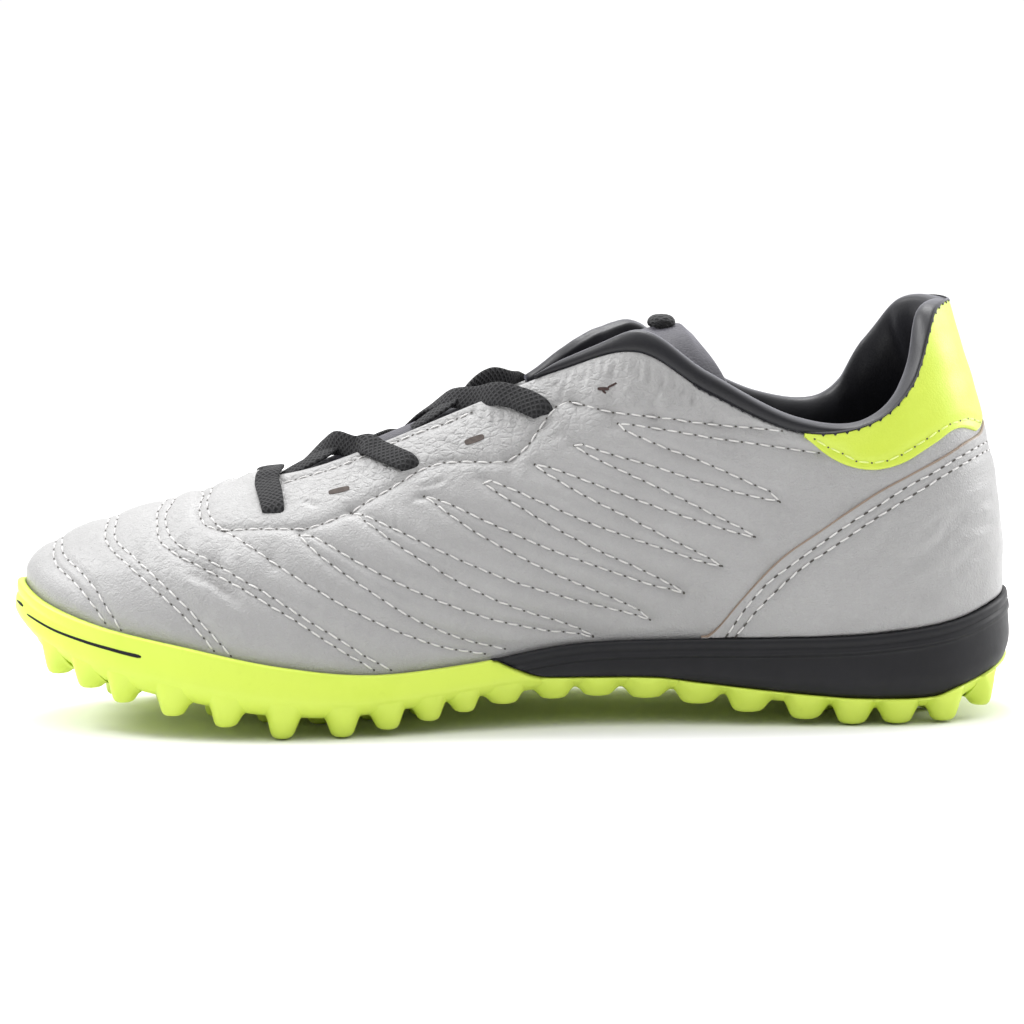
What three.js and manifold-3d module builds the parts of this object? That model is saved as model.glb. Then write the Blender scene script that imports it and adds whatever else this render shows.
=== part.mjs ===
// Turf football shoe for the right foot, about EU 42, standing empty on its studs.
// Millimetres, +Z up. The toe points towards -X and the inner side of the foot is towards -Y.
// The origin lies under the middle of the sole, on the ground.
import * as THREE from 'three';
import { mergeVertices } from 'three/addons/utils/BufferGeometryUtils.js';
import Module from 'manifold-3d';

const wasm = await Module();
wasm.setup();

// Overall sizes
const SOLE_LENGTH = 286;
const SOLE_WIDTH = 102;
const HEEL_TOP = 117.3; // top of the outer shell at the back of the heel
const BUMPER_TOP = 39.5; // top of the rubber rim at the tip of the toe
const BED_HEIGHT = 20; // footbed above the ground, under the heel

// Walls, clearances and trim
const FIT_GAP = 0.3;
const RIM_SHOULDER = 1.6; // how far the rim's top edge lies inside the sole's widest line
const RIM_WALL = 1.4;
const RIM_ROUND = 0.8; // bevel along the rim's top edge
const SOLE_BEVEL = 6; // from the underside's edge out to the sole's widest line
const UPPER_WALL = 2.2;
const OVERLAY_WALL = 0.9; // counter and heel tab
const INSOLE_THICKNESS = 4;
const INSOLE_PLAY = 0.4;
const COLLAR_BAND = 6.8; // widest band of collar that shows above the shell
const COLLAR_PAD = 7; // thickest part of the collar's roll
const COLLAR_DEPTH = 34; // how far the lining runs down at the heel
const COLLAR_ROLL = 1.3; // rise of the roll above its band
const TONGUE_THICKNESS = 4.2;
const TONGUE_LAP = 12; // widest overlap of tongue and eyestay
const TONGUE_RISE = 19; // how high the tongue's top end stands above its sides
const EYESTAY_WIDTH = 22.5; // from the first eyelet to the throat's edge
const LACE_WIDTH = 7;
const LACE_THICKNESS = 1.5;
const LACE_LIFT = 0.5; // under the lace, above leather and tongue
const LACE_STEPS = 9; // faces along one strand
const EYELET_LENGTH = 6.2;
const EYELET_WIDTH = 1.6;

// Studs
const STUD_RADIUS = 3.1; // at the tip
const STUD_ROOT = 1.45; // root radius over tip radius
const STUD_LENGTH = 4.3;
const STUD_SIDES = 6;
const STUD_BURY = 2.4; // how deep a stud is rooted in the sole
const EDGE_STUD_INSET = 6.6;
const FIELD_PITCH = 17.5;
const FIELD_MARGIN = 13; // from the centre of an inner stud to the sole's edge

const HALF_LENGTH = SOLE_LENGTH / 2;
const HALF_WIDTH = SOLE_WIDTH / 2;
const RIM_INNER = RIM_SHOULDER + RIM_WALL;
const UPPER_INSET = RIM_INNER + FIT_GAP;

// Sections round the shoe, from the back of the heel along the inner side to the toe tip (row 13)
// and back along the outer side. x and y are shares of half the sole's length and width, and rim is
// the height of the sole's top edge as a share of BUMPER_TOP.
const SOLE_SECTIONS = [
  { x: 1.0, y: 0.03, rim: 0.881 },
  { x: 0.958, y: -0.373, rim: 0.835 },
  { x: 0.846, y: -0.627, rim: 0.722 },
  { x: 0.678, y: -0.696, rim: 0.648 },
  { x: 0.49, y: -0.667, rim: 0.623 },
  { x: 0.294, y: -0.618, rim: 0.613 },
  { x: 0.098, y: -0.637, rim: 0.587 },
  { x: -0.098, y: -0.765, rim: 0.481 },
  { x: -0.294, y: -0.931, rim: 0.438 },
  { x: -0.476, y: -1.0, rim: 0.514 },
  { x: -0.657, y: -0.941, rim: 0.643 },
  { x: -0.825, y: -0.755, rim: 0.759 },
  { x: -0.944, y: -0.461, rim: 0.884 },
  { x: -1.0, y: -0.118, rim: 1.0 },
  { x: -0.965, y: 0.216, rim: 0.944 },
  { x: -0.86, y: 0.51, rim: 0.81 },
  { x: -0.699, y: 0.755, rim: 0.671 },
  { x: -0.503, y: 0.931, rim: 0.552 },
  { x: -0.308, y: 1.0, rim: 0.481 },
  { x: -0.112, y: 0.971, rim: 0.506 },
  { x: 0.098, y: 0.882, rim: 0.577 },
  { x: 0.308, y: 0.794, rim: 0.613 },
  { x: 0.517, y: 0.745, rim: 0.623 },
  { x: 0.706, y: 0.735, rim: 0.648 },
  { x: 0.867, y: 0.647, rim: 0.722 },
  { x: 0.965, y: 0.382, rim: 0.835 },
];

// The upper's rib at each of the same sections. x, y and z place its top edge, at the collar or the
// throat, as shares of half length, half width and HEEL_TOP. lift and reach are the lengths of the
// rib's bottom and top handles over its chord, flare is the outward lean at the bottom and slope the
// rise at the top edge, in degrees.
const UPPER_RIBS = [
  { x: 0.86, y: 0.02, z: 1.0, lift: 0.4, flare: 2, reach: 0.3, slope: 73 },
  { x: 0.815, y: -0.33, z: 0.965, lift: 0.36, flare: 3, reach: 0.3, slope: 76 },
  { x: 0.765, y: -0.51, z: 0.8, lift: 0.35, flare: 5, reach: 0.35, slope: 82 },
  { x: 0.672, y: -0.59, z: 0.708, lift: 0.35, flare: 10, reach: 0.35, slope: 86 },
  { x: 0.53, y: -0.625, z: 0.703, lift: 0.35, flare: 13, reach: 0.35, slope: 88 },
  { x: 0.36, y: -0.6, z: 0.797, lift: 0.35, flare: 17, reach: 0.35, slope: 82 },
  { x: 0.224, y: -0.529, z: 0.891, lift: 0.33, flare: 18, reach: 0.35, slope: 74 },
  { x: 0.077, y: -0.392, z: 0.845, lift: 0.33, flare: 14, reach: 0.35, slope: 60 },
  { x: -0.098, y: -0.324, z: 0.759, lift: 0.35, flare: 8, reach: 0.35, slope: 48 },
  { x: -0.259, y: -0.304, z: 0.677, lift: 0.36, flare: 4, reach: 0.35, slope: 38 },
  { x: -0.385, y: -0.284, z: 0.619, lift: 0.34, flare: 2, reach: 0.38, slope: 30 },
  { x: -0.469, y: -0.235, z: 0.593, lift: 0.28, flare: 3, reach: 0.4, slope: 24 },
  { x: -0.506, y: -0.182, z: 0.596, lift: 0.21, flare: 2, reach: 0.44, slope: 21 },
  { x: -0.516, y: -0.108, z: 0.598, lift: 0.2, flare: 2, reach: 0.46, slope: 20 },
  { x: -0.506, y: -0.029, z: 0.593, lift: 0.21, flare: 2, reach: 0.44, slope: 21 },
  { x: -0.469, y: 0.029, z: 0.59, lift: 0.28, flare: 3, reach: 0.4, slope: 24 },
  { x: -0.385, y: 0.088, z: 0.614, lift: 0.34, flare: 2, reach: 0.38, slope: 30 },
  { x: -0.259, y: 0.147, z: 0.669, lift: 0.36, flare: 4, reach: 0.35, slope: 38 },
  { x: -0.098, y: 0.216, z: 0.746, lift: 0.35, flare: 8, reach: 0.35, slope: 46 },
  { x: 0.077, y: 0.333, z: 0.823, lift: 0.34, flare: 10, reach: 0.35, slope: 54 },
  { x: 0.224, y: 0.51, z: 0.878, lift: 0.34, flare: 10, reach: 0.35, slope: 66 },
  { x: 0.36, y: 0.6, z: 0.8, lift: 0.35, flare: 8, reach: 0.35, slope: 78 },
  { x: 0.51, y: 0.625, z: 0.725, lift: 0.35, flare: 7, reach: 0.35, slope: 86 },
  { x: 0.64, y: 0.59, z: 0.735, lift: 0.35, flare: 7, reach: 0.35, slope: 84 },
  { x: 0.72, y: 0.51, z: 0.835, lift: 0.35, flare: 4, reach: 0.35, slope: 80 },
  { x: 0.8, y: 0.34, z: 0.975, lift: 0.36, flare: 3, reach: 0.3, slope: 76 },
];
const ROUND = UPPER_RIBS.length;
const TOE = ROUND / 2;
const UPPER_ROWS = 6; // faces up each rib
const RIB_LEAN = 17; // how strongly a rib's top keeps to the sole's normal

// Heights along the sole, as shares of BED_HEIGHT, against x as a share of half the length. under is
// the sole's underside at the inner edge, lateral the same at the outer edge, and bed the footbed.
const SOLE_LEVELS = [
  { x: -1.0, under: 1.35, lateral: 1.35, bed: 1.5 },
  { x: -0.93, under: 1.0, lateral: 1.0, bed: 1.3 },
  { x: -0.81, under: 0.69, lateral: 0.69, bed: 1.02 },
  { x: -0.66, under: 0.49, lateral: 0.49, bed: 0.81 },
  { x: -0.5, under: 0.31, lateral: 0.31, bed: 0.67 },
  { x: -0.36, under: 0.255, lateral: 0.255, bed: 0.62 },
  { x: -0.22, under: 0.33, lateral: 0.3, bed: 0.65 },
  { x: -0.05, under: 0.475, lateral: 0.37, bed: 0.75 },
  { x: 0.13, under: 0.55, lateral: 0.4, bed: 0.88 },
  { x: 0.31, under: 0.48, lateral: 0.38, bed: 0.95 },
  { x: 0.51, under: 0.31, lateral: 0.29, bed: 0.98 },
  { x: 0.72, under: 0.205, lateral: 0.205, bed: 0.99 },
  { x: 0.84, under: 0.23, lateral: 0.23, bed: 1.02 },
  { x: 0.93, under: 0.4, lateral: 0.4, bed: 1.07 },
  { x: 1.0, under: 0.65, lateral: 0.65, bed: 1.12 },
];

// Where the rubber outsole ends and the foam midsole wedge begins, in the same shares.
const WEDGE_LINE = [
  { x: -0.07, z: 1.06 },
  { x: -0.021, z: 0.875 },
  { x: 0.045, z: 0.715 },
  { x: 0.13, z: 0.695 },
  { x: 0.25, z: 0.685 },
  { x: 0.35, z: 0.6 },
  { x: 0.46, z: 0.51 },
  { x: 0.56, z: 0.435 },
  { x: 0.66, z: 0.38 },
  { x: 0.76, z: 0.365 },
  { x: 0.815, z: 0.385 },
  { x: 0.86, z: 0.49 },
  { x: 0.95, z: 0.7 },
  { x: 1.05, z: 0.98 },
];

// The side of the sole from the underside to the rim. inset is a share of SOLE_BEVEL inside the widest
// line, and share the height between underside and rim.
const SIDE_STEPS = [
  { inset: 1, share: 0 },
  { inset: 0.4, share: 0.11 },
  { inset: 0, share: 0.4 },
  { inset: 0.1, share: 0.76 },
];

// Studs along both edges. x is a share of half the length, stretch the stud's length along the edge
// over its width, and drop its height over STUD_LENGTH. Tips never go below the ground.
const EDGE_STUDS = [
  { x: -0.905, stretch: 1, drop: 0.6 },
  { x: -0.82, stretch: 1, drop: 0.55 },
  { x: -0.755, stretch: 0.9, drop: 0.8 },
  { x: -0.66, stretch: 1, drop: 0.95 },
  { x: -0.56, stretch: 1, drop: 1 },
  { x: -0.455, stretch: 1, drop: 1.4 },
  { x: -0.345, stretch: 1, drop: 1.4 },
  { x: -0.26, stretch: 1, drop: 1 },
  { x: -0.18, stretch: 0.95, drop: 0.85 },
  { x: -0.11, stretch: 0.9, drop: 0.7 },
  { x: -0.03, stretch: 1.15, drop: 0.55 },
  { x: 0.07, stretch: 1.15, drop: 0.55 },
  { x: 0.16, stretch: 1.2, drop: 0.5 },
  { x: 0.257, stretch: 1.35, drop: 0.55 },
  { x: 0.36, stretch: 1.4, drop: 0.7 },
  { x: 0.46, stretch: 1.35, drop: 0.85 },
  { x: 0.572, stretch: 1.3, drop: 0.95 },
  { x: 0.663, stretch: 1.25, drop: 1.3 },
  { x: 0.75, stretch: 1.25, drop: 1.3 },
  { x: 0.84, stretch: 1.15, drop: 1 },
  { x: 0.914, stretch: 0.9, drop: 0.8 },
];

// Rows of inner studs, from one x to another as shares of half the length.
const STUD_FIELDS = [
  { from: -0.79, to: -0.2, drop: 1.4 },
  { from: 0.62, to: 0.83, drop: 1.3 },
];

// The padded collar against the section number, counted from the heel along either side. band, pad
// and depth are shares of COLLAR_BAND, COLLAR_PAD and COLLAR_DEPTH.
const COLLAR_ROWS = [
  { q: 0, band: 0.04, pad: 0.8, depth: 1 },
  { q: 1, band: 0.26, pad: 0.86, depth: 0.97 },
  { q: 2, band: 0.38, pad: 0.97, depth: 0.88 },
  { q: 3, band: 0.38, pad: 1, depth: 0.82 },
  { q: 4, band: 0.68, pad: 1, depth: 0.76 },
  { q: 5, band: 0.91, pad: 0.91, depth: 0.7 },
  { q: 6, band: 1, pad: 0.8, depth: 0.59 },
  { q: 6.5, band: 0.7, pad: 0.71, depth: 0.44 },
  { q: 7, band: 0.47, pad: 0.63, depth: 0.32 },
  { q: 7.333, band: 0.06, pad: 0.51, depth: 0.18 },
];

// The tongue against the same numbers. lap is how far it runs under each side, as a share of
// TONGUE_LAP, and seat how much of COLLAR_PAD it lies below the shell's wall. crown is how high its
// middle stands above its sides and shift how far it lies towards the heel, in shares of TONGUE_RISE.
const TONGUE_ROWS = [
  { q: 4.667, lap: 0.83, seat: 0.74, crown: 1, shift: -0.47 },
  { q: 4.9, lap: 0.83, seat: 0.73, crown: 1, shift: -0.34 },
  { q: 5.2, lap: 0.83, seat: 0.7, crown: 0.87, shift: -0.18 },
  { q: 5.6, lap: 0.83, seat: 0.66, crown: 0.58, shift: -0.05 },
  { q: 6, lap: 0.83, seat: 0.57, crown: 0.37, shift: 0 },
  { q: 6.5, lap: 0.83, seat: 0.49, crown: 0.23, shift: 0 },
  { q: 7, lap: 0.83, seat: 0.4, crown: 0.15, shift: 0 },
  { q: 7.5, lap: 0.92, seat: 0.29, crown: 0.14, shift: 0 },
  { q: 8, lap: 1, seat: 0.03, crown: 0.18, shift: 0 },
  { q: 9, lap: 1, seat: 0.01, crown: 0.2, shift: 0 },
  { q: 10, lap: 0.92, seat: 0.01, crown: 0.17, shift: 0 },
  { q: 11, lap: 0.75, seat: 0.01, crown: 0.12, shift: 0 },
  { q: 11.5, lap: 0.67, seat: 0.01, crown: 0.05, shift: 0 },
  { q: 12, lap: 0.5, seat: 0.01, crown: -0.08, shift: -0.21 },
];

// Upper edge of the heel counter and lower edge of the lime heel tab, as shares of the rib's length
// from the sole's rim, against the section number.
const COUNTER_EDGE = [
  { q: 0, u: 0.61 },
  { q: 1, u: 0.6 },
  { q: 2, u: 0.66 },
  { q: 2.6, u: 0.6 },
  { q: 3.2, u: 0.45 },
  { q: 3.7, u: 0.27 },
  { q: 4, u: 0.13 },
  { q: 4.333, u: 0.03 },
];
const TAB_EDGE = [
  { q: 0, u: 0.62 },
  { q: 0.6, u: 0.65 },
  { q: 1, u: 0.68 },
  { q: 1.5, u: 0.72 },
  { q: 2, u: 0.77 },
  { q: 2.6, u: 0.8 },
  { q: 3, u: 0.84 },
  { q: 3.667, u: 0.98 },
];

// Eyelets from the toe end of the throat upwards. q is the section number and down the distance from
// the throat's edge, as a share of EYESTAY_WIDTH.
const EYELETS = [
  { q: 10.06, down: 1 },
  { q: 9.18, down: 0.89 },
  { q: 8.41, down: 0.755 },
  { q: 7.77, down: 0.64 },
  { q: 7.04, down: 0.49 },
  { q: 6.31, down: 0.427 },
];

// The lace lies over the throat as a bar at the first eyelets, then as two crossings. A strand runs
// from section number q, at the share down of EYESTAY_WIDTH below the throat's edge (beyond it where
// negative) and the share depth of UPPER_WALL below the leather. start and finish lift its two
// handles, and over lifts the strand that lies on top, in shares of LACE_WIDTH.
const LACE_STRANDS = [
  {
    name: 'lace_bar',
    q: 10.06,
    down: 1,
    depth: 0,
    toQ: 10.06,
    toDown: 1,
    start: 1.2,
    finish: 1.2,
    over: 0,
  },
  {
    name: 'lace_cross_1',
    q: 10.6,
    down: -0.133,
    depth: 0.64,
    toQ: 8.41,
    toDown: 0.755,
    start: 0.51,
    finish: 1.2,
    over: 0.2,
  },
  {
    name: 'lace_cross_2',
    q: 8.6,
    down: -0.133,
    depth: 0.64,
    toQ: 7.12,
    toDown: 0.49,
    start: 0.14,
    finish: 1.7,
    over: 0.2,
  },
];

// Colour and roughness of each piece
const FINISHES = {
  outsole: { color: 0xcde83a, roughness: 0.45 },
  midsole: { color: 0x27272b, roughness: 0.6 },
  upper: { color: 0xc8c6c3, roughness: 0.55 },
  tongue: { color: 0x34343a, roughness: 0.75 },
  insole: { color: 0x3c3c40, roughness: 0.9 },
  collar: { color: 0x34343b, roughness: 0.7 },
  heel_counter: { color: 0xc6c4c2, roughness: 0.55 },
  heel_tab: { color: 0xd6ee4a, roughness: 0.5 },
  lace_bar: { color: 0x3d3d40, roughness: 0.9 },
  lace_cross_1: { color: 0x3d3d40, roughness: 0.9 },
  lace_cross_2: { color: 0x3d3d40, roughness: 0.9 },
};

// A column of a closed table at section number t, as a smooth closed curve through the rows.
function closedColumn(rows, key, t) {
  const i = Math.floor(t);
  const f = t - i;
  const at = (k) => rows[(((i + k) % rows.length) + rows.length) % rows.length][key];
  const [a, b, c, d] = [at(-1), at(0), at(1), at(2)];
  const cubic = 3 * b - a - 3 * c + d;
  const square = 2 * a - 5 * b + 4 * c - d;
  return b + 0.5 * f * (c - a + f * (square + f * cubic));
}

// A column of an open table against its key column, without overshoot between the rows.
function openColumn(rows, by, key, x) {
  const last = rows.length - 1;
  const rate = (i) => (rows[i + 1][key] - rows[i][key]) / (rows[i + 1][by] - rows[i][by]);
  const slope = (i) => {
    if (i === 0) return rate(0);
    if (i === last) return rate(last - 1);
    const [a, b] = [rate(i - 1), rate(i)];
    return a * b <= 0 ? 0 : (2 * a * b) / (a + b);
  };
  if (x <= rows[0][by]) return rows[0][key];
  if (x >= rows[last][by]) return rows[last][key];
  let i = 0;
  while (x > rows[i + 1][by]) i += 1;
  const h = rows[i + 1][by] - rows[i][by];
  const f = (x - rows[i][by]) / h;
  const [p, q] = [rows[i][key], rows[i + 1][key]];
  const ease = f * f * (3 - 2 * f);
  return p + (q - p) * ease + h * f * (1 - f) * (slope(i) * (1 - f) - slope(i + 1) * f);
}

// The sole's widest line and the point a given distance inside it.
function outlinePoint(t) {
  return new THREE.Vector2(
    HALF_LENGTH * closedColumn(SOLE_SECTIONS, 'x', t),
    HALF_WIDTH * closedColumn(SOLE_SECTIONS, 'y', t),
  );
}
function inwardNormal(t) {
  const step = 0.01;
  const along = outlinePoint(t + step).sub(outlinePoint(t - step)).normalize();
  return new THREE.Vector2(along.y, -along.x);
}
function insetPoint(t, inset) {
  return outlinePoint(t).addScaledVector(inwardNormal(t), inset);
}

const rimHeight = (t) => BUMPER_TOP * closedColumn(SOLE_SECTIONS, 'rim', t);
const bedHeight = (x) => BED_HEIGHT * openColumn(SOLE_LEVELS, 'x', 'bed', x / HALF_LENGTH);
const wedgeHeight = (x) => BED_HEIGHT * openColumn(WEDGE_LINE, 'x', 'z', x / HALF_LENGTH);
function underHeight(x, y) {
  const inner = openColumn(SOLE_LEVELS, 'x', 'under', x / HALF_LENGTH);
  const outer = openColumn(SOLE_LEVELS, 'x', 'lateral', x / HALF_LENGTH);
  return BED_HEIGHT * THREE.MathUtils.lerp(inner, outer, (y + HALF_WIDTH) / SOLE_WIDTH);
}

// One rib of the upper's outer face, from the rim of the sole to the collar or throat edge.
function makeRib(t) {
  const value = (key) => closedColumn(UPPER_RIBS, key, t);
  const foot = insetPoint(t, UPPER_INSET);
  const bottom = new THREE.Vector3(foot.x, foot.y, rimHeight(t));
  const top = new THREE.Vector3(
    HALF_LENGTH * value('x'),
    HALF_WIDTH * value('y'),
    HEEL_TOP * value('z'),
  );
  const chord = top.distanceTo(bottom);
  const inward = inwardNormal(t);
  const flare = THREE.MathUtils.degToRad(value('flare'));
  const slope = THREE.MathUtils.degToRad(value('slope'));
  const low = new THREE.Vector3(0, 0, Math.cos(flare));
  low.x = -inward.x * Math.sin(flare);
  low.y = -inward.y * Math.sin(flare);
  const across = new THREE.Vector2(top.x - bottom.x, top.y - bottom.y);
  across.addScaledVector(inward, RIB_LEAN).normalize();
  across.multiplyScalar(Math.cos(slope));
  const high = new THREE.Vector3(across.x, across.y, Math.sin(slope));
  return new THREE.CubicBezierCurve3(
    bottom,
    bottom.clone().addScaledVector(low, chord * value('lift')),
    top.clone().addScaledVector(high, -chord * value('reach')),
    top,
  );
}

const ribCache = new Map();
function rib(t) {
  const key = Math.round(t * 1e5);
  if (!ribCache.has(key)) ribCache.set(key, makeRib(t));
  return ribCache.get(key);
}

// The outer face at section t and share u of the rib's length, and its normal pointing inwards.
const facePoint = (t, u) => rib(t).getPointAt(THREE.MathUtils.clamp(u, 0, 1));
function faceNormal(t, u) {
  const dt = 0.03;
  const du = 0.01;
  const [low, high] = [Math.max(0, u - du), Math.min(1, u + du)];
  const round = facePoint(t + dt, u).sub(facePoint(t - dt, u));
  const up = facePoint(t, high).sub(facePoint(t, low));
  return round.cross(up).normalize();
}

// The share of the rib's length a distance below its top edge.
const shareAt = (t, down) => 1 - Math.max(0, down) / rib(t).getLength();

// A point a distance below the rib's top edge (above it where negative), at a depth from the outer
// face towards the foot.
function shellPoint(t, down, depth) {
  const u = shareAt(t, down);
  const point = facePoint(t, u).addScaledVector(faceNormal(t, u), depth);
  return down < 0 ? point.addScaledVector(rib(t).getTangentAt(1), -down) : point;
}

// A closed mesh as a solid, turned the right way out.
function solidOf(points, triangles) {
  const vertProperties = new Float32Array(points.flatMap((p) => [p.x, p.y, p.z]));
  const build = (list) => new wasm.Manifold(
    new wasm.Mesh({ numProp: 3, vertProperties, triVerts: new Uint32Array(list.flat()) }),
  );
  const solid = build(triangles);
  return solid.volume() > 0 ? solid : build(triangles.map(([a, b, c]) => [a, c, b]));
}

function geometrySolid(geometry) {
  geometry.deleteAttribute('normal');
  geometry.deleteAttribute('uv');
  const merged = mergeVertices(geometry, 1e-4);
  const { array } = merged.attributes.position;
  const points = [];
  for (let i = 0; i < array.length; i += 3) points.push(new THREE.Vector3().fromArray(array, i));
  const corners = Array.from(merged.index.array);
  const triangles = [];
  for (let i = 0; i < corners.length; i += 3) triangles.push(corners.slice(i, i + 3));
  return solidOf(points, triangles.filter(([a, b, c]) => a !== b && b !== c && a !== c));
}

// A solid swept through rings of equal length. Each ring runs out along one side and back along the
// other, so that an open sweep closes its two ends with strips between opposite points.
function sweep(rings, closed) {
  const size = rings[0].length;
  const triangles = [];
  const last = closed ? rings.length : rings.length - 1;
  for (let i = 0; i < last; i += 1) {
    const [a, b] = [i * size, ((i + 1) % rings.length) * size];
    for (let j = 0; j < size; j += 1) {
      const k = (j + 1) % size;
      triangles.push([a + j, b + j, b + k], [a + j, b + k, a + k]);
    }
  }
  const closeEnd = (base, flip) => {
    for (let k = 0; k < size / 2 - 1; k += 1) {
      const [a, b, c, d] = [k, k + 1, size - 2 - k, size - 1 - k].map((v) => base + v);
      triangles.push(flip ? [a, d, b] : [a, b, d], flip ? [b, d, c] : [b, c, d]);
    }
  };
  if (!closed) {
    closeEnd(0, false);
    closeEnd((rings.length - 1) * size, true);
  }
  return solidOf(rings.flat(), triangles);
}

// A sheet of a given thickness behind a grid of points.
function thicken(grid, thickness) {
  const [rows, columns] = [grid.length, grid[0].length];
  const rings = grid.map((row, i) => {
    const behind = row.map((point, j) => {
      const along = grid[Math.min(i + 1, rows - 1)][j].clone().sub(grid[Math.max(i - 1, 0)][j]);
      const across = row[Math.min(j + 1, columns - 1)].clone().sub(row[Math.max(j - 1, 0)]);
      return point.clone().addScaledVector(along.cross(across).normalize(), thickness);
    });
    return [...row, ...behind.reverse()];
  });
  return sweep(rings, false);
}

const SECTION_STEPS = 3; // faces between two sections round the shoe
const COLUMNS = ROUND * SECTION_STEPS;
const columnSections = Array.from({ length: COLUMNS }, (_, j) => j / SECTION_STEPS);

function spread(from, to, steps) {
  return Array.from({ length: steps + 1 }, (_, i) => from + ((to - from) * i) / steps);
}

// Section numbers on the upper's own columns between two others.
function sectionsBetween(from, to) {
  const [first, last] = [from, to].map((q) => Math.round(q * SECTION_STEPS));
  return spread(first, last, last - first).map((k) => k / SECTION_STEPS);
}

// One end cap of a body made of loops round the shoe. It adds its inner points, whose height comes
// from a function of x and y, and returns its triangles.
function capTriangles(points, base, height, across) {
  const line = (p) => {
    if (p === 0 || p === COLUMNS / 2) return Array(across + 1).fill(base + p);
    const [from, to] = [points[base + p], points[base + COLUMNS - p]];
    const inner = spread(0, 1, across).slice(1, -1).map((f) => {
      const x = THREE.MathUtils.lerp(from.x, to.x, f);
      const y = THREE.MathUtils.lerp(from.y, to.y, f);
      return points.push(new THREE.Vector3(x, y, height(x, y))) - 1;
    });
    return [base + p, ...inner, base + COLUMNS - p];
  };
  const triangles = [];
  let previous = line(0);
  for (let p = 1; p <= COLUMNS / 2; p += 1) {
    const next = line(p);
    for (let k = 0; k < across; k += 1) {
      triangles.push([previous[k], previous[k + 1], next[k + 1]], [previous[k], next[k + 1], next[k]]);
    }
    previous = next;
  }
  return triangles.filter(([a, b, c]) => a !== b && b !== c && a !== c);
}

// A body between two loops round the shoe, given as rings from the lower cap to the upper one.
function loopBody(rings, lower, upper) {
  const points = rings.flat();
  const triangles = [];
  for (let i = 0; i < rings.length - 1; i += 1) {
    const [a, b] = [i * COLUMNS, (i + 1) * COLUMNS];
    for (let j = 0; j < COLUMNS; j += 1) {
      const k = (j + 1) % COLUMNS;
      triangles.push([a + j, a + k, b + k], [a + j, b + k, b + j]);
    }
  }
  triangles.push(...capTriangles(points, 0, lower.height, lower.across));
  const lid = capTriangles(points, (rings.length - 1) * COLUMNS, upper.height, upper.across);
  triangles.push(...lid.map(([a, b, c]) => [a, c, b]));
  return solidOf(points, triangles);
}

// A loop round the shoe a distance inside the widest line, at a height from a function.
function loopRing(inset, height) {
  return columnSections.map((t) => {
    const p = insetPoint(t, inset);
    return new THREE.Vector3(p.x, p.y, height(t, p));
  });
}

// The whole sole as one cup, before the wedge line parts it.
function soleCup() {
  const outside = SIDE_STEPS.map(({ inset, share }) => loopRing(inset * SOLE_BEVEL, (t, p) => (
    THREE.MathUtils.lerp(underHeight(p.x, p.y), rimHeight(t), share)
  )));
  const rim = [
    loopRing(RIM_SHOULDER - RIM_ROUND, (t) => rimHeight(t) - RIM_ROUND),
    loopRing(RIM_SHOULDER, (t) => rimHeight(t)),
    loopRing(RIM_INNER, (t) => rimHeight(t)),
    loopRing(RIM_INNER, (t, p) => bedHeight(p.x)),
  ];
  return loopBody(
    [...outside, ...rim],
    { height: underHeight, across: 3 },
    { height: bedHeight, across: 2 },
  );
}

// Everything above the wedge line raised by a gap.
function aboveWedge(raise) {
  const ends = [WEDGE_LINE[0].x, WEDGE_LINE.at(-1).x].map((share) => share * HALF_LENGTH);
  const line = spread(...ends, 20).map((x) => new THREE.Vector2(x, wedgeHeight(x) + raise));
  const shape = new THREE.Shape([
    ...line,
    new THREE.Vector2(ends[1], HEEL_TOP),
    new THREE.Vector2(ends[0], HEEL_TOP),
  ]);
  const block = new THREE.ExtrudeGeometry(shape, { depth: 2 * SOLE_WIDTH, bevelEnabled: false });
  block.rotateX(Math.PI / 2);
  block.translate(0, SOLE_WIDTH, 0);
  return geometrySolid(block);
}

// One stud: a tapered post with a flat tip, turned to run along the edge.
function studSolid({ x, y }, stretch, drop, turn) {
  const under = underHeight(x, y);
  const tip = Math.max(0, under - STUD_LENGTH * drop);
  const root = under + STUD_BURY;
  const widening = 1 + ((STUD_ROOT - 1) * (root - tip)) / STUD_LENGTH;
  const post = new THREE.CylinderGeometry(STUD_RADIUS * widening, STUD_RADIUS, root - tip, STUD_SIDES);
  post.rotateY(Math.PI / STUD_SIDES);
  post.rotateX(Math.PI / 2);
  post.scale(stretch, 1, 1);
  post.rotateZ(turn);
  post.translate(x, y, (root + tip) / 2);
  return geometrySolid(post);
}

// The section number between two others where a line inside the outline reaches x.
function sectionAt(x, inset, from, to) {
  let [low, high] = [from, to];
  const rising = insetPoint(to, inset).x > insetPoint(from, inset).x;
  for (let i = 0; i < 30; i += 1) {
    const middle = (low + high) / 2;
    if ((insetPoint(middle, inset).x < x) === rising) low = middle;
    else high = middle;
  }
  return (low + high) / 2;
}

const SOLE_SIDES = [[0, TOE], [TOE, ROUND]];

function edgeStuds() {
  return SOLE_SIDES.flatMap(([from, to]) => EDGE_STUDS.map(({ x, stretch, drop }) => {
    const t = sectionAt(x * HALF_LENGTH, EDGE_STUD_INSET, from, to);
    const inward = inwardNormal(t);
    return studSolid(insetPoint(t, EDGE_STUD_INSET), stretch, drop, Math.atan2(-inward.x, inward.y));
  }));
}

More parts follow.
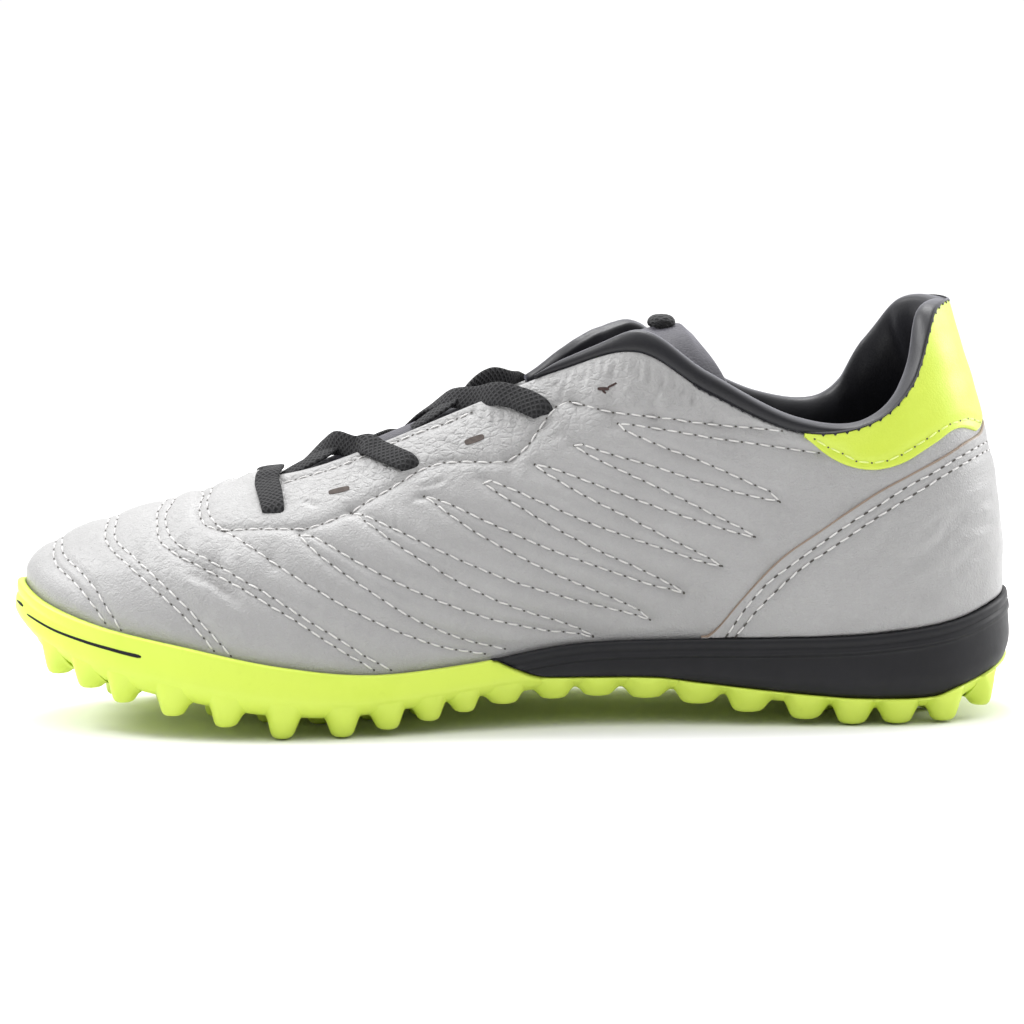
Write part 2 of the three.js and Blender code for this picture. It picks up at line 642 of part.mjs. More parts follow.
function fieldStuds() {
  return STUD_FIELDS.flatMap(({ from, to, drop }) => {
    const rows = Math.round(((to - from) * HALF_LENGTH) / (FIELD_PITCH * 0.85));
    return spread(from * HALF_LENGTH, to * HALF_LENGTH, rows).flatMap((x, i) => {
      const limits = SOLE_SIDES.map(([a, b]) => {
        return insetPoint(sectionAt(x, FIELD_MARGIN, a, b), FIELD_MARGIN).y;
      });
      const room = Math.floor(Math.abs(limits[1] - limits[0]) / FIELD_PITCH);
      const places = spread(limits[0], limits[1], Math.max(1, room - (i % 2)) + 1).slice(1, -1);
      return places.map((y) => studSolid({ x, y }, 1, drop, 0));
    });
  });
}

function soleSolids() {
  const cup = soleCup();
  const studs = wasm.Manifold.union([...edgeStuds(), ...fieldStuds()]);
  return {
    outsole: wasm.Manifold.union([cup.subtract(aboveWedge(0)), studs]),
    midsole: cup.intersect(aboveWedge(FIT_GAP)),
  };
}

// The prism that cuts one eyelet, long across the rib.
function eyeletSlot(t, down) {
  const r = EYELET_WIDTH / 2;
  const end = EYELET_LENGTH / 2 - r;
  const shape = new THREE.Shape();
  shape.absarc(end, 0, r, -Math.PI / 2, Math.PI / 2, false);
  shape.absarc(-end, 0, r, Math.PI / 2, (3 * Math.PI) / 2, false);
  const depth = 4 * UPPER_WALL;
  const prism = new THREE.ExtrudeGeometry(shape, { depth, bevelEnabled: false, curveSegments: 1 });
  prism.translate(0, 0, -depth / 2);
  const normal = faceNormal(t, shareAt(t, down));
  const along = shellPoint(t + 0.05, down, 0).sub(shellPoint(t - 0.05, down, 0)).normalize();
  const side = normal.clone().cross(along).normalize();
  const place = new THREE.Matrix4().makeBasis(side.clone().cross(normal).normalize(), side, normal);
  prism.applyMatrix4(place.setPosition(shellPoint(t, down, UPPER_WALL / 2)));
  return geometrySolid(prism);
}

function upperSolid() {
  const shares = spread(0, 1, UPPER_ROWS);
  const rings = columnSections.map((t) => {
    const seat = bedHeight(insetPoint(t, RIM_INNER).x) + FIT_GAP;
    const [outerFoot, innerFoot] = [0, UPPER_WALL].map((depth) => {
      const p = insetPoint(t, UPPER_INSET + depth);
      return new THREE.Vector3(p.x, p.y, seat);
    });
    const outer = shares.map((u) => facePoint(t, u));
    const inner = shares.map((u) => facePoint(t, u).addScaledVector(faceNormal(t, u), UPPER_WALL));
    return [outerFoot, ...outer, ...inner.reverse(), innerFoot];
  });
  const slots = EYELETS.flatMap(({ q, down }) => (
    [q, ROUND - q].map((t) => eyeletSlot(t, down * EYESTAY_WIDTH))
  ));
  return slots.reduce((left, slot) => left.subtract(slot), sweep(rings, true));
}

// The padded lining that rolls over the shell's top edge and runs down inside it.
function collarSolid() {
  const end = COLLAR_ROWS.at(-1).q;
  const seat = UPPER_WALL + 2 * FIT_GAP;
  const rings = sectionsBetween(-end, end).map((q) => {
    const share = (key) => openColumn(COLLAR_ROWS, 'q', key, Math.abs(q));
    const band = COLLAR_BAND * share('band');
    const pad = COLLAR_PAD * share('pad');
    const depth = COLLAR_DEPTH * share('depth');
    const roll = [
      [-1.5 * FIT_GAP, 0],
      [-0.5 * band - FIT_GAP, -2 * FIT_GAP],
      [-band - FIT_GAP, FIT_GAP],
      [-band - COLLAR_ROLL, 0.45 * pad],
      [-band, 0.85 * pad],
      [0.25 * depth, pad],
      [depth, seat + 3 * FIT_GAP],
      [depth, seat],
      [0.25 * depth, seat],
      [-1.5 * FIT_GAP, seat],
      [-1.5 * FIT_GAP, 0.6 * seat],
      [-1.5 * FIT_GAP, 0.3 * seat],
    ];
    return roll.map(([down, inside]) => shellPoint((q + ROUND) % ROUND, down, inside));
  });
  return sweep(rings, false);
}

// A raised layer on the upper's face between two edges, each a share of the rib's length at q.
function overlaySolid(reach, lower, upper, rows) {
  const grid = sectionsBetween(-reach, reach).map((q) => {
    const t = (q + ROUND) % ROUND;
    const [from, to] = [lower(Math.abs(q), t), upper(Math.abs(q), t)];
    return spread(from, to, rows).map((u) => {
      return facePoint(t, u).addScaledVector(faceNormal(t, u), -FIT_GAP - OVERLAY_WALL);
    });
  });
  return thicken(grid, OVERLAY_WALL);
}

function counterSolid() {
  const foot = (q, t) => (FIT_GAP * 2) / rib(t).getLength();
  const edge = (q, t) => Math.max(foot(q, t) + 0.02, openColumn(COUNTER_EDGE, 'q', 'u', q));
  return overlaySolid(COUNTER_EDGE.at(-1).q, foot, edge, 4);
}

function heelTabSolid() {
  const top = (q, t) => 1 - (FIT_GAP * 2) / rib(t).getLength();
  return overlaySolid(TAB_EDGE.at(-1).q, (q) => openColumn(TAB_EDGE, 'q', 'u', q), top, 3);
}

// The tongue's outer face: it follows the inside of each eyestay and bridges the throat.
function tongueRow({ q, lap, seat, crown, shift }) {
  const below = UPPER_WALL + FIT_GAP + seat * COLLAR_PAD;
  const side = (t) => [lap * TONGUE_LAP, 0].map((down) => shellPoint(t, down, below));
  const [inner, outer] = [side(q), side(ROUND - q).reverse()];
  const [from, to] = [inner.at(-1), outer[0]];
  const bridge = spread(0, 1, 6).slice(1, -1).map((f) => {
    const swell = Math.sin(Math.PI * f);
    const rise = new THREE.Vector3(shift * swell, 0, crown * swell ** 0.8);
    return from.clone().lerp(to, f).addScaledVector(rise, TONGUE_RISE);
  });
  return [...inner, ...bridge, ...outer];
}

function tongueSolid() {
  const [first, last] = [TONGUE_ROWS[0].q, TONGUE_ROWS.at(-1).q];
  const columns = ['lap', 'seat', 'crown', 'shift'];
  const grid = sectionsBetween(first, last).map((q) => {
    const row = Object.fromEntries(columns.map((key) => [key, openColumn(TONGUE_ROWS, 'q', key, q)]));
    return tongueRow({ q, ...row });
  });
  return thicken(grid, TONGUE_THICKNESS);
}

function insoleSolid() {
  const inset = UPPER_INSET + UPPER_WALL + INSOLE_PLAY;
  const low = (x) => bedHeight(x) + FIT_GAP;
  const high = (x) => low(x) + INSOLE_THICKNESS;
  return loopBody(
    [loopRing(inset, (t, p) => low(p.x)), loopRing(inset, (t, p) => high(p.x))],
    { height: low, across: 2 },
    { height: high, across: 2 },
  );
}

// One strand of lace from one side of the throat to the other.
function laceStrand(from, to, start, finish) {
  const ends = [from, to].map(({ t, down, depth }) => {
    const below = down * EYESTAY_WIDTH;
    return {
      point: shellPoint(t, below, depth * UPPER_WALL - LACE_LIFT - LACE_THICKNESS / 2),
      normal: faceNormal(t, shareAt(t, below)).negate(),
      climb: rib(t).getTangentAt(shareAt(t, below)),
    };
  });
  const span = ends[0].point.distanceTo(ends[1].point);
  const handle = (end, other, lift) => {
    const straight = other.point.clone().sub(end.point).normalize();
    const aim = straight.addScaledVector(end.climb, 0.8).normalize();
    const out = end.point.clone().addScaledVector(aim, span * 0.3);
    return out.setZ(out.z + lift * LACE_WIDTH);
  };
  const curve = new THREE.CubicBezierCurve3(
    ends[0].point,
    handle(ends[0], ends[1], start),
    handle(ends[1], ends[0], finish),
    ends[1].point,
  );
  const rings = spread(0, 1, LACE_STEPS).map((f) => {
    const tangent = curve.getTangent(f);
    const normal = ends[0].normal.clone().lerp(ends[1].normal, f);
    const side = tangent.clone().cross(normal).normalize().multiplyScalar(LACE_WIDTH / 2);
    const up = side.clone().cross(tangent).normalize().multiplyScalar(LACE_THICKNESS / 2);
    const centre = curve.getPoint(f);
    const corner = (a, b) => centre.clone().addScaledVector(side, a).addScaledVector(up, b);
    const section = [[-1, 0], [-0.6, -1], [0.6, -1], [1, 0], [0.6, 1], [-0.6, 1]];
    return section.map(([a, b]) => corner(a, b));
  });
  return sweep(rings, false);
}

// A crossing's two strands come up at the throat's edges and end over the eyelets of the other side.
// The bar is one strand between the two sides' first eyelets.
function laceSolid({ q, down, depth, toQ, toDown, start, finish, over }) {
  const inner = laceStrand(
    { t: q, down, depth },
    { t: ROUND - toQ, down: toDown, depth: 0 },
    start,
    finish,
  );
  if (over === 0) return inner;
  const outer = laceStrand(
    { t: ROUND - q, down, depth },
    { t: toQ, down: toDown, depth: 0 },
    start + over,
    finish + over,
  );
  return wasm.Manifold.union([inner, outer]);
}

function meshOf(name, solid) {
  const { vertProperties, triVerts, numProp } = solid.getMesh();
  const geometry = new THREE.BufferGeometry();
  const positions = new Float32Array((vertProperties.length / numProp) * 3);
  for (let i = 0; i < positions.length / 3; i += 1) {
    positions.set(vertProperties.subarray(i * numProp, i * numProp + 3), i * 3);
  }
  geometry.setAttribute('position', new THREE.BufferAttribute(positions, 3));
  geometry.setIndex(new THREE.BufferAttribute(new Uint32Array(triVerts), 1));
  geometry.computeVertexNormals();
  const material = new THREE.MeshStandardMaterial({ ...FINISHES[name], metalness: 0, flatShading: true });
  const mesh = new THREE.Mesh(geometry, material);
  mesh.name = name;
  return mesh;
}

function buildShoe() {
  const pieces = {
    ...soleSolids(),
    upper: upperSolid(),
    tongue: tongueSolid(),
    insole: insoleSolid(),
    collar: collarSolid(),
    heel_counter: counterSolid(),
    heel_tab: heelTabSolid(),
    ...Object.fromEntries(LACE_STRANDS.map((strand) => [strand.name, laceSolid(strand)])),
  };
  const shoe = new THREE.Group();
  Object.entries(pieces).forEach(([name, solid]) => shoe.add(meshOf(name, solid)));
  return shoe;
}

export default buildShoe();
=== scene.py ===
"""Looks of a turf football shoe, built round its CAD part.

Lengths in this file are millimetres in the part's own frame: the toe points to -X, the inner side
of the foot to -Y, and the ground is Z 0. They turn into metres when a mesh is made. Places on the
inner side are given as pixels of the photograph (1024 by 1024), and are carried onto the shoe's
surface through the same camera.
"""

import math

import bmesh
import bpy
import numpy as np
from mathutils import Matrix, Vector
from mathutils.kdtree import KDTree


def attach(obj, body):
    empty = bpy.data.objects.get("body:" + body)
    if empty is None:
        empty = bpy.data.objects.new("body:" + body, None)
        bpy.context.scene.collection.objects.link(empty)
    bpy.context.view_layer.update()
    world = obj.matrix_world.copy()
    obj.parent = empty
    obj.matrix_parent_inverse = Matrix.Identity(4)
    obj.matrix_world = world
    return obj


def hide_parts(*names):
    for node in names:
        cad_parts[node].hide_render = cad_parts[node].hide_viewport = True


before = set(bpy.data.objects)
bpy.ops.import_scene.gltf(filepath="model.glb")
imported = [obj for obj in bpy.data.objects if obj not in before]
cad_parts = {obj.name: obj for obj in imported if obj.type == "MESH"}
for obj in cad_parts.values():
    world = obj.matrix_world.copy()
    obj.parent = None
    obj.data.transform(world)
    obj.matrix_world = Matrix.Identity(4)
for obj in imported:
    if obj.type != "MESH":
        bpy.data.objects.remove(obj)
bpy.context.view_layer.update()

MM = 0.001
RANDOM_SEED = 7

# Sizes shared with the part's source
HALF_LENGTH = 143.0
HALF_WIDTH = 51.0
HEEL_TOP = 117.3
BUMPER_TOP = 39.5
BED_HEIGHT = 20.0
FIT_GAP = 0.3
RIM_SHOULDER = 1.6
RIM_WALL = 1.4
RIM_INNER = RIM_SHOULDER + RIM_WALL
UPPER_INSET = RIM_INNER + FIT_GAP
UPPER_WALL = 2.2
OVERLAY_WALL = 0.9
TONGUE_THICKNESS = 4.2
TONGUE_LAP = 12.0
TONGUE_RISE = 19.0
COLLAR_BAND = 6.8
COLLAR_PAD = 7.0
COLLAR_DEPTH = 34.0
COLLAR_ROLL = 1.3
SOLE_BEVEL = 6.0
INSOLE_THICKNESS = 4.0
INSOLE_PLAY = 0.4
LACE_WIDTH = 7.0
LACE_THICKNESS = 1.5
RIB_LEAN = 17.0
STUD_LENGTH = 4.3
EDGE_STUD_INSET = 6.6
FIELD_PITCH = 17.5
FIELD_MARGIN = 13.0


def table(columns, *rows):
    """A table with named columns, as arrays."""
    names = columns.split()
    return {name: np.array([row[i] for row in rows], float) for i, name in enumerate(names)}


# Tables repeated from the part's source. Every length in them is a share of a size above.
SOLE_SECTIONS = table(
    "x y rim",
    (1.0, 0.03, 0.881),
    (0.958, -0.373, 0.835),
    (0.846, -0.627, 0.722),
    (0.678, -0.696, 0.648),
    (0.49, -0.667, 0.623),
    (0.294, -0.618, 0.613),
    (0.098, -0.637, 0.587),
    (-0.098, -0.765, 0.481),
    (-0.294, -0.931, 0.438),
    (-0.476, -1.0, 0.514),
    (-0.657, -0.941, 0.643),
    (-0.825, -0.755, 0.759),
    (-0.944, -0.461, 0.884),
    (-1.0, -0.118, 1.0),
    (-0.965, 0.216, 0.944),
    (-0.86, 0.51, 0.81),
    (-0.699, 0.755, 0.671),
    (-0.503, 0.931, 0.552),
    (-0.308, 1.0, 0.481),
    (-0.112, 0.971, 0.506),
    (0.098, 0.882, 0.577),
    (0.308, 0.794, 0.613),
    (0.517, 0.745, 0.623),
    (0.706, 0.735, 0.648),
    (0.867, 0.647, 0.722),
    (0.965, 0.382, 0.835),
)
UPPER_RIBS = table(
    "x y z lift flare reach slope",
    (0.86, 0.02, 1.0, 0.4, 2, 0.3, 73),
    (0.815, -0.33, 0.965, 0.36, 3, 0.3, 76),
    (0.765, -0.51, 0.8, 0.35, 5, 0.35, 82),
    (0.672, -0.59, 0.708, 0.35, 10, 0.35, 86),
    (0.53, -0.625, 0.703, 0.35, 13, 0.35, 88),
    (0.36, -0.6, 0.797, 0.35, 17, 0.35, 82),
    (0.224, -0.529, 0.891, 0.33, 18, 0.35, 74),
    (0.077, -0.392, 0.845, 0.33, 14, 0.35, 60),
    (-0.098, -0.324, 0.759, 0.35, 8, 0.35, 48),
    (-0.259, -0.304, 0.677, 0.36, 4, 0.35, 38),
    (-0.385, -0.284, 0.619, 0.34, 2, 0.38, 30),
    (-0.469, -0.235, 0.593, 0.28, 3, 0.4, 24),
    (-0.506, -0.182, 0.596, 0.21, 2, 0.44, 21),
    (-0.516, -0.108, 0.598, 0.2, 2, 0.46, 20),
    (-0.506, -0.029, 0.593, 0.21, 2, 0.44, 21),
    (-0.469, 0.029, 0.59, 0.28, 3, 0.4, 24),
    (-0.385, 0.088, 0.614, 0.34, 2, 0.38, 30),
    (-0.259, 0.147, 0.669, 0.36, 4, 0.35, 38),
    (-0.098, 0.216, 0.746, 0.35, 8, 0.35, 46),
    (0.077, 0.333, 0.823, 0.34, 10, 0.35, 54),
    (0.224, 0.51, 0.878, 0.34, 10, 0.35, 66),
    (0.36, 0.6, 0.8, 0.35, 8, 0.35, 78),
    (0.51, 0.625, 0.725, 0.35, 7, 0.35, 86),
    (0.64, 0.59, 0.735, 0.35, 7, 0.35, 84),
    (0.72, 0.51, 0.835, 0.35, 4, 0.35, 80),
    (0.8, 0.34, 0.975, 0.36, 3, 0.3, 76),
)
SOLE_LEVELS = table(
    "x under lateral bed",
    (-1.0, 1.35, 1.35, 1.5),
    (-0.93, 1.0, 1.0, 1.3),
    (-0.81, 0.69, 0.69, 1.02),
    (-0.66, 0.49, 0.49, 0.81),
    (-0.5, 0.31, 0.31, 0.67),
    (-0.36, 0.255, 0.255, 0.62),
    (-0.22, 0.33, 0.3, 0.65),
    (-0.05, 0.475, 0.37, 0.75),
    (0.13, 0.55, 0.4, 0.88),
    (0.31, 0.48, 0.38, 0.95),
    (0.51, 0.31, 0.29, 0.98),
    (0.72, 0.205, 0.205, 0.99),
    (0.84, 0.23, 0.23, 1.02),
    (0.93, 0.4, 0.4, 1.07),
    (1.0, 0.65, 0.65, 1.12),
)
WEDGE_LINE = table(
    "x z",
    (-0.07, 1.06),
    (-0.021, 0.875),
    (0.045, 0.715),
    (0.13, 0.695),
    (0.25, 0.685),
    (0.35, 0.6),
    (0.46, 0.51),
    (0.56, 0.435),
    (0.66, 0.38),
    (0.76, 0.365),
    (0.815, 0.385),
    (0.86, 0.49),
    (0.95, 0.7),
    (1.05, 0.98),
)
EDGE_STUDS = table(
    "x stretch drop",
    (-0.905, 1, 0.6),
    (-0.82, 1, 0.55),
    (-0.755, 0.9, 0.8),
    (-0.66, 1, 0.95),
    (-0.56, 1, 1),
    (-0.455, 1, 1.4),
    (-0.345, 1, 1.4),
    (-0.26, 1, 1),
    (-0.18, 0.95, 0.85),
    (-0.11, 0.9, 0.7),
    (-0.03, 1.15, 0.55),
    (0.07, 1.15, 0.55),
    (0.16, 1.2, 0.5),
    (0.257, 1.35, 0.55),
    (0.36, 1.4, 0.7),
    (0.46, 1.35, 0.85),
    (0.572, 1.3, 0.95),
    (0.663, 1.25, 1.3),
    (0.75, 1.25, 1.3),
    (0.84, 1.15, 1),
    (0.914, 0.9, 0.8),
)
STUD_FIELDS = table(
    "from to drop",
    (-0.79, -0.2, 1.4),
    (0.62, 0.83, 1.3),
)
COLLAR_ROWS = table(
    "q band pad depth",
    (0, 0.04, 0.8, 1),
    (1, 0.26, 0.86, 0.97),
    (2, 0.38, 0.97, 0.88),
    (3, 0.38, 1, 0.82),
    (4, 0.68, 1, 0.76),
    (5, 0.91, 0.91, 0.7),
    (6, 1, 0.8, 0.59),
    (6.5, 0.7, 0.71, 0.44),
    (7, 0.47, 0.63, 0.32),
    (7.333, 0.06, 0.51, 0.18),
)
TONGUE_ROWS = table(
    "q lap seat crown shift",
    (4.667, 0.83, 0.74, 1, -0.47),
    (4.9, 0.83, 0.73, 1, -0.34),
    (5.2, 0.83, 0.7, 0.87, -0.18),
    (5.6, 0.83, 0.66, 0.58, -0.05),
    (6, 0.83, 0.57, 0.37, 0),
    (6.5, 0.83, 0.49, 0.23, 0),
    (7, 0.83, 0.4, 0.15, 0),
    (7.5, 0.92, 0.29, 0.14, 0),
    (8, 1, 0.03, 0.18, 0),
    (9, 1, 0.01, 0.2, 0),
    (10, 0.92, 0.01, 0.17, 0),
    (11, 0.75, 0.01, 0.12, 0),
    (11.5, 0.67, 0.01, 0.05, 0),
    (12, 0.5, 0.01, -0.08, -0.21),
)

# Sections round the shoe, from the heel's middle over the inner side, and the one at the toe
TURNS = 26
TOE = 13


# Curves and surfaces of the part


def between(a, b, c, d, f):
    """A smooth curve through four values, at a share f of the way from the second to the third."""
    cubic = 3 * b - a - 3 * c + d
    square = 2 * a - 5 * b + 4 * c - d
    return b + 0.5 * f * (c - a + f * (square + f * cubic))


def closed_column(rows, key, t):
    """A column of a closed table at section number t, as a smooth closed curve."""
    values = rows[key]
    t = np.asarray(t, float)
    i = np.floor(t).astype(int)
    a, b, c, d = (values[(i + k) % len(values)] for k in (-1, 0, 1, 2))
    return between(a, b, c, d, t - i)


def open_column(rows, by, key, x):
    """A column of an open table against its key column, without overshoot."""
    xs = rows[by]
    ys = rows[key]
    rates = np.diff(ys) / np.diff(xs)
    slopes = np.empty_like(ys)
    slopes[0] = rates[0]
    slopes[-1] = rates[-1]
    product = rates[:-1] * rates[1:]
    total = rates[:-1] + rates[1:]
    total[total == 0] = 1
    slopes[1:-1] = np.where(product > 0, 2 * product / total, 0)
    x = np.clip(x, xs[0], xs[-1])
    i = np.clip(np.searchsorted(xs, x, side="right") - 1, 0, len(xs) - 2)
    h = xs[i + 1] - xs[i]
    f = (x - xs[i]) / h
    ease = f * f * (3 - 2 * f)
    bend = slopes[i] * (1 - f) - slopes[i + 1] * f
    return ys[i] + (ys[i + 1] - ys[i]) * ease + h * f * (1 - f) * bend


def unit(v):
    """Vectors scaled to length 1."""
    return v / np.maximum(np.linalg.norm(v, axis=-1, keepdims=True), 1e-9)


def run_along(points):
    """The length of a line of points from its start to each of them."""
    return np.concatenate([[0], np.cumsum(np.linalg.norm(np.diff(points, axis=0), axis=1))])


def turn_angles(count):
    """Equal steps round a circle."""
    return np.arange(count) / count * 2 * np.pi


def flattened(values, power):
    """Values from -1 to 1 raised to a power, with their signs kept."""
    return np.sign(values) * np.abs(values) ** power


def raised(flat, height):
    """Points from places in plan and their heights."""
    return np.concatenate([flat, np.asarray(height)[:, None]], axis=1)


def outline_point(t):
    """The sole's widest line."""
    x = HALF_LENGTH * closed_column(SOLE_SECTIONS, "x", t)
    y = HALF_WIDTH * closed_column(SOLE_SECTIONS, "y", t)
    return np.stack([x, y], axis=-1)


def inward_normal(t):
    """The direction in plan from the sole's widest line to the inside."""
    t = np.asarray(t, float)
    along = unit(outline_point(t + 0.01) - outline_point(t - 0.01))
    return np.stack([along[..., 1], -along[..., 0]], axis=-1)


def inset_point(t, inset):
    """A point in plan a distance inside the sole's widest line."""
    inset = np.asarray(inset, float)
    return outline_point(t) + inward_normal(t) * inset[..., None]


def rim_height(t):
    return BUMPER_TOP * closed_column(SOLE_SECTIONS, "rim", t)


def bed_height(x):
    return BED_HEIGHT * open_column(SOLE_LEVELS, "x", "bed", x / HALF_LENGTH)


def wedge_height(x):
    return BED_HEIGHT * open_column(WEDGE_LINE, "x", "z", x / HALF_LENGTH)


def under_height(x, y):
    """The height of the rubber's underside, which is higher under the inner side of the arch."""
    inner = open_column(SOLE_LEVELS, "x", "under", x / HALF_LENGTH)
    outer = open_column(SOLE_LEVELS, "x", "lateral", x / HALF_LENGTH)
    share = (y + HALF_WIDTH) / (2 * HALF_WIDTH)
    return BED_HEIGHT * (inner + (outer - inner) * share)


def bezier(handles, f):
    """Points of cubic curves. handles is four arrays of points, f one array of places."""
    a, b, c, d = (h[..., None, :] for h in handles)
    f = f[:, None]
    return a * (1 - f) ** 3 + 3 * b * f * (1 - f) ** 2 + 3 * c * f * f * (1 - f) + d * f ** 3


def rib_handles(t):
    """The four control points of the upper's rib at each section number."""
    t = np.asarray(t, float)
    value = {key: closed_column(UPPER_RIBS, key, t) for key in UPPER_RIBS}
    foot = inset_point(t, np.full_like(t, UPPER_INSET))
    bottom = np.stack([foot[..., 0], foot[..., 1], rim_height(t)], axis=-1)
    top = np.stack(
        [HALF_LENGTH * value["x"], HALF_WIDTH * value["y"], HEEL_TOP * value["z"]], axis=-1
    )
    chord = np.linalg.norm(top - bottom, axis=-1)[..., None]
    inward = inward_normal(t)
    flare = np.radians(value["flare"])[..., None]
    slope = np.radians(value["slope"])[..., None]
    low = np.concatenate([-inward * np.sin(flare), np.cos(flare)], axis=-1)
    across = unit((top - bottom)[..., :2] + inward * RIB_LEAN)
    high = np.concatenate([across * np.cos(slope), np.sin(slope)], axis=-1)
    lift = value["lift"][..., None]
    reach = value["reach"][..., None]
    return bottom, bottom + low * chord * lift, top - high * chord * reach, top


# The search for the place under a pixel: grid over the surface, how far a place may turn away from
# the camera, and the least area in square pixels of one section by one share.
SEARCH_STEP = 1 / 16
SEARCH_ROWS = 61
GRAZING = 0.02
EDGE_ON = 200


class Surface:
    """A grid of points over section numbers and shares, read between its points."""

    def __init__(self, points, first, step, closed):
        self.points = points
        self.first = first
        self.step = step
        self.closed = closed
        self.count, self.rows = points.shape[:2]
        if closed:
            round_ = np.roll(points, -1, axis=0) - np.roll(points, 1, axis=0)
        else:
            round_ = np.gradient(points, axis=0)
        up = np.gradient(points, axis=1)
        self.normals = unit(np.cross(round_, up))
        lengths = np.linalg.norm(np.diff(points, axis=1), axis=-1)
        self.lengths = lengths.sum(axis=1)

    def read(self, grid, t, u):
        """Values of a grid of the same size at t and u."""
        t = np.asarray(t, float)
        u = np.asarray(u, float)
        i = (t - self.first) / self.step
        if self.closed:
            i = i % self.count
        else:
            i = np.clip(i, 0, self.count - 1.001)
        j = np.clip(u, 0, 1) * (self.rows - 1)
        i0 = np.floor(i).astype(int)
        j0 = np.minimum(np.floor(j).astype(int), self.rows - 2)
        fi = i - i0
        fj = j - j0
        i0 = i0 % self.count
        i1 = (i0 + 1) % self.count
        if grid.ndim > 2:
            fi = fi[..., None]
            fj = fj[..., None]
        low = grid[i0, j0] * (1 - fi) + grid[i1, j0] * fi
        high = grid[i0, j0 + 1] * (1 - fi) + grid[i1, j0 + 1] * fi
        return low * (1 - fj) + high * fj

    def point(self, t, u):
        return self.read(self.points, t, u)

    def normal(self, t, u):
        """Unit normals that point into the shoe."""
        return unit(self.read(self.normals, t, u))

    def length(self, t):
        i = ((np.asarray(t, float) - self.first) / self.step) % self.count
        i0 = np.floor(i).astype(int) % self.count
        f = i - np.floor(i)
        return self.lengths[i0] * (1 - f) + self.lengths[(i0 + 1) % self.count] * f

    def share_at(self, t, down):
        """The share of the rib's length a distance below its top edge."""
        return 1 - np.maximum(0, down) / self.length(t)

    def line(self, path):
        """Points along a path of section numbers and shares."""
        return self.point(path[:, 0], path[:, 1])

    def seen(self, t, u):
        """The pixels that show places of the surface."""
        return project(self.point(t, u))

    def locate(self, pixels, first, last):
        """Section numbers and shares of the surface under pixels of the photograph."""
        pixels = np.asarray(pixels, float)
        ts = np.arange(first, last + 1e-6, SEARCH_STEP)
        us = np.linspace(0, 1, SEARCH_ROWS)
        tt, uu = np.meshgrid(ts, us, indexing="ij")
        facing = (self.normal(tt, uu) * CAMERA_BACK).sum(axis=-1) < GRAZING
        spots = self.seen(tt, uu)[facing]
        tt = tt[facing]
        uu = uu[facing]
        found = []
        for pixel in pixels:
            near = np.argmin(((spots - pixel) ** 2).sum(axis=-1))
            found.append(self.closer(pixel, tt[near], uu[near]))
        return np.array(found)

    def closer(self, pixel, t, u):
        """A place near t and u that lies nearer to a pixel, in two steps."""
        d = 0.02
        for _ in range(2):
            dt = (self.seen(t + d, u) - self.seen(t - d, u)) / (2 * d)
            high = min(1.0, u + d)
            low = max(0.0, u - d)
            du = (self.seen(t, high) - self.seen(t, low)) / (high - low)
            jacobian = np.stack([dt, du], axis=-1)
            if abs(np.linalg.det(jacobian)) < EDGE_ON:
                break
            move = np.linalg.solve(jacobian, pixel - self.seen(t, u))
            t += float(np.clip(move[0], -0.1, 0.1))
            u = float(np.clip(u + np.clip(move[1], -0.05, 0.05), 0, 1))
        return t, u


def face_surface():
    """The upper's outer face."""
    step = 1 / 32
    ts = np.arange(0, TURNS, step)
    curves = bezier(rib_handles(ts), np.linspace(0, 1, 121))
    shares = np.linspace(0, 1, 161)
    points = np.empty((len(ts), len(shares), 3))
    for i, curve in enumerate(curves):
        run = run_along(curve)
        for axis in range(3):
            points[i, :, axis] = np.interp(shares * run[-1], run, curve[:, axis])
    return Surface(points, 0.0, step, True)


def shell_point(t, down, depth):
    """A point a distance below the top edge of the upper's face, at a depth towards the foot."""
    t = np.asarray(t, float)
    down = np.asarray(down, float)
    depth = np.asarray(depth, float)
    u = face.share_at(t, down)
    point = face.point(t, u) + face.normal(t, u) * depth[..., None]
    near = face.share_at(t, 0.6)
    climb = unit(face.point(t, np.ones_like(u)) - face.point(t, near))
    return point + climb * np.maximum(0, -down)[..., None]


# Camera of the photograph

CAMERA_DISTANCE = 1000.0
CAMERA_AZIMUTH = math.radians(-3.0)
CAMERA_ELEVATION = math.radians(6.5)
CAMERA_TARGET = np.array([-1.35, 0.0, 57.0])
PIXELS_PER_MM = 3.482
PICTURE_WIDTH = 1024
SENSOR_WIDTH = 36.0

CAMERA_BACK = np.array(
    [
        math.sin(CAMERA_AZIMUTH) * math.cos(CAMERA_ELEVATION),
        -math.cos(CAMERA_AZIMUTH) * math.cos(CAMERA_ELEVATION),
        math.sin(CAMERA_ELEVATION),
    ]
)
CAMERA_RIGHT = np.array([math.cos(CAMERA_AZIMUTH), math.sin(CAMERA_AZIMUTH), 0.0])
CAMERA_UP = np.cross(CAMERA_BACK, CAMERA_RIGHT)


def project(points):
    """Pixels of the photograph that show points of the shoe."""
    away = np.asarray(points) - (CAMERA_TARGET + CAMERA_BACK * CAMERA_DISTANCE)
    depth = -(away @ CAMERA_BACK)
    scale = PIXELS_PER_MM * CAMERA_DISTANCE / depth
    half = PICTURE_WIDTH / 2
    across = half + scale * (away @ CAMERA_RIGHT)
    down = half - scale * (away @ CAMERA_UP)
    return np.stack([across, down], axis=-1)


face = face_surface()


# Meshes


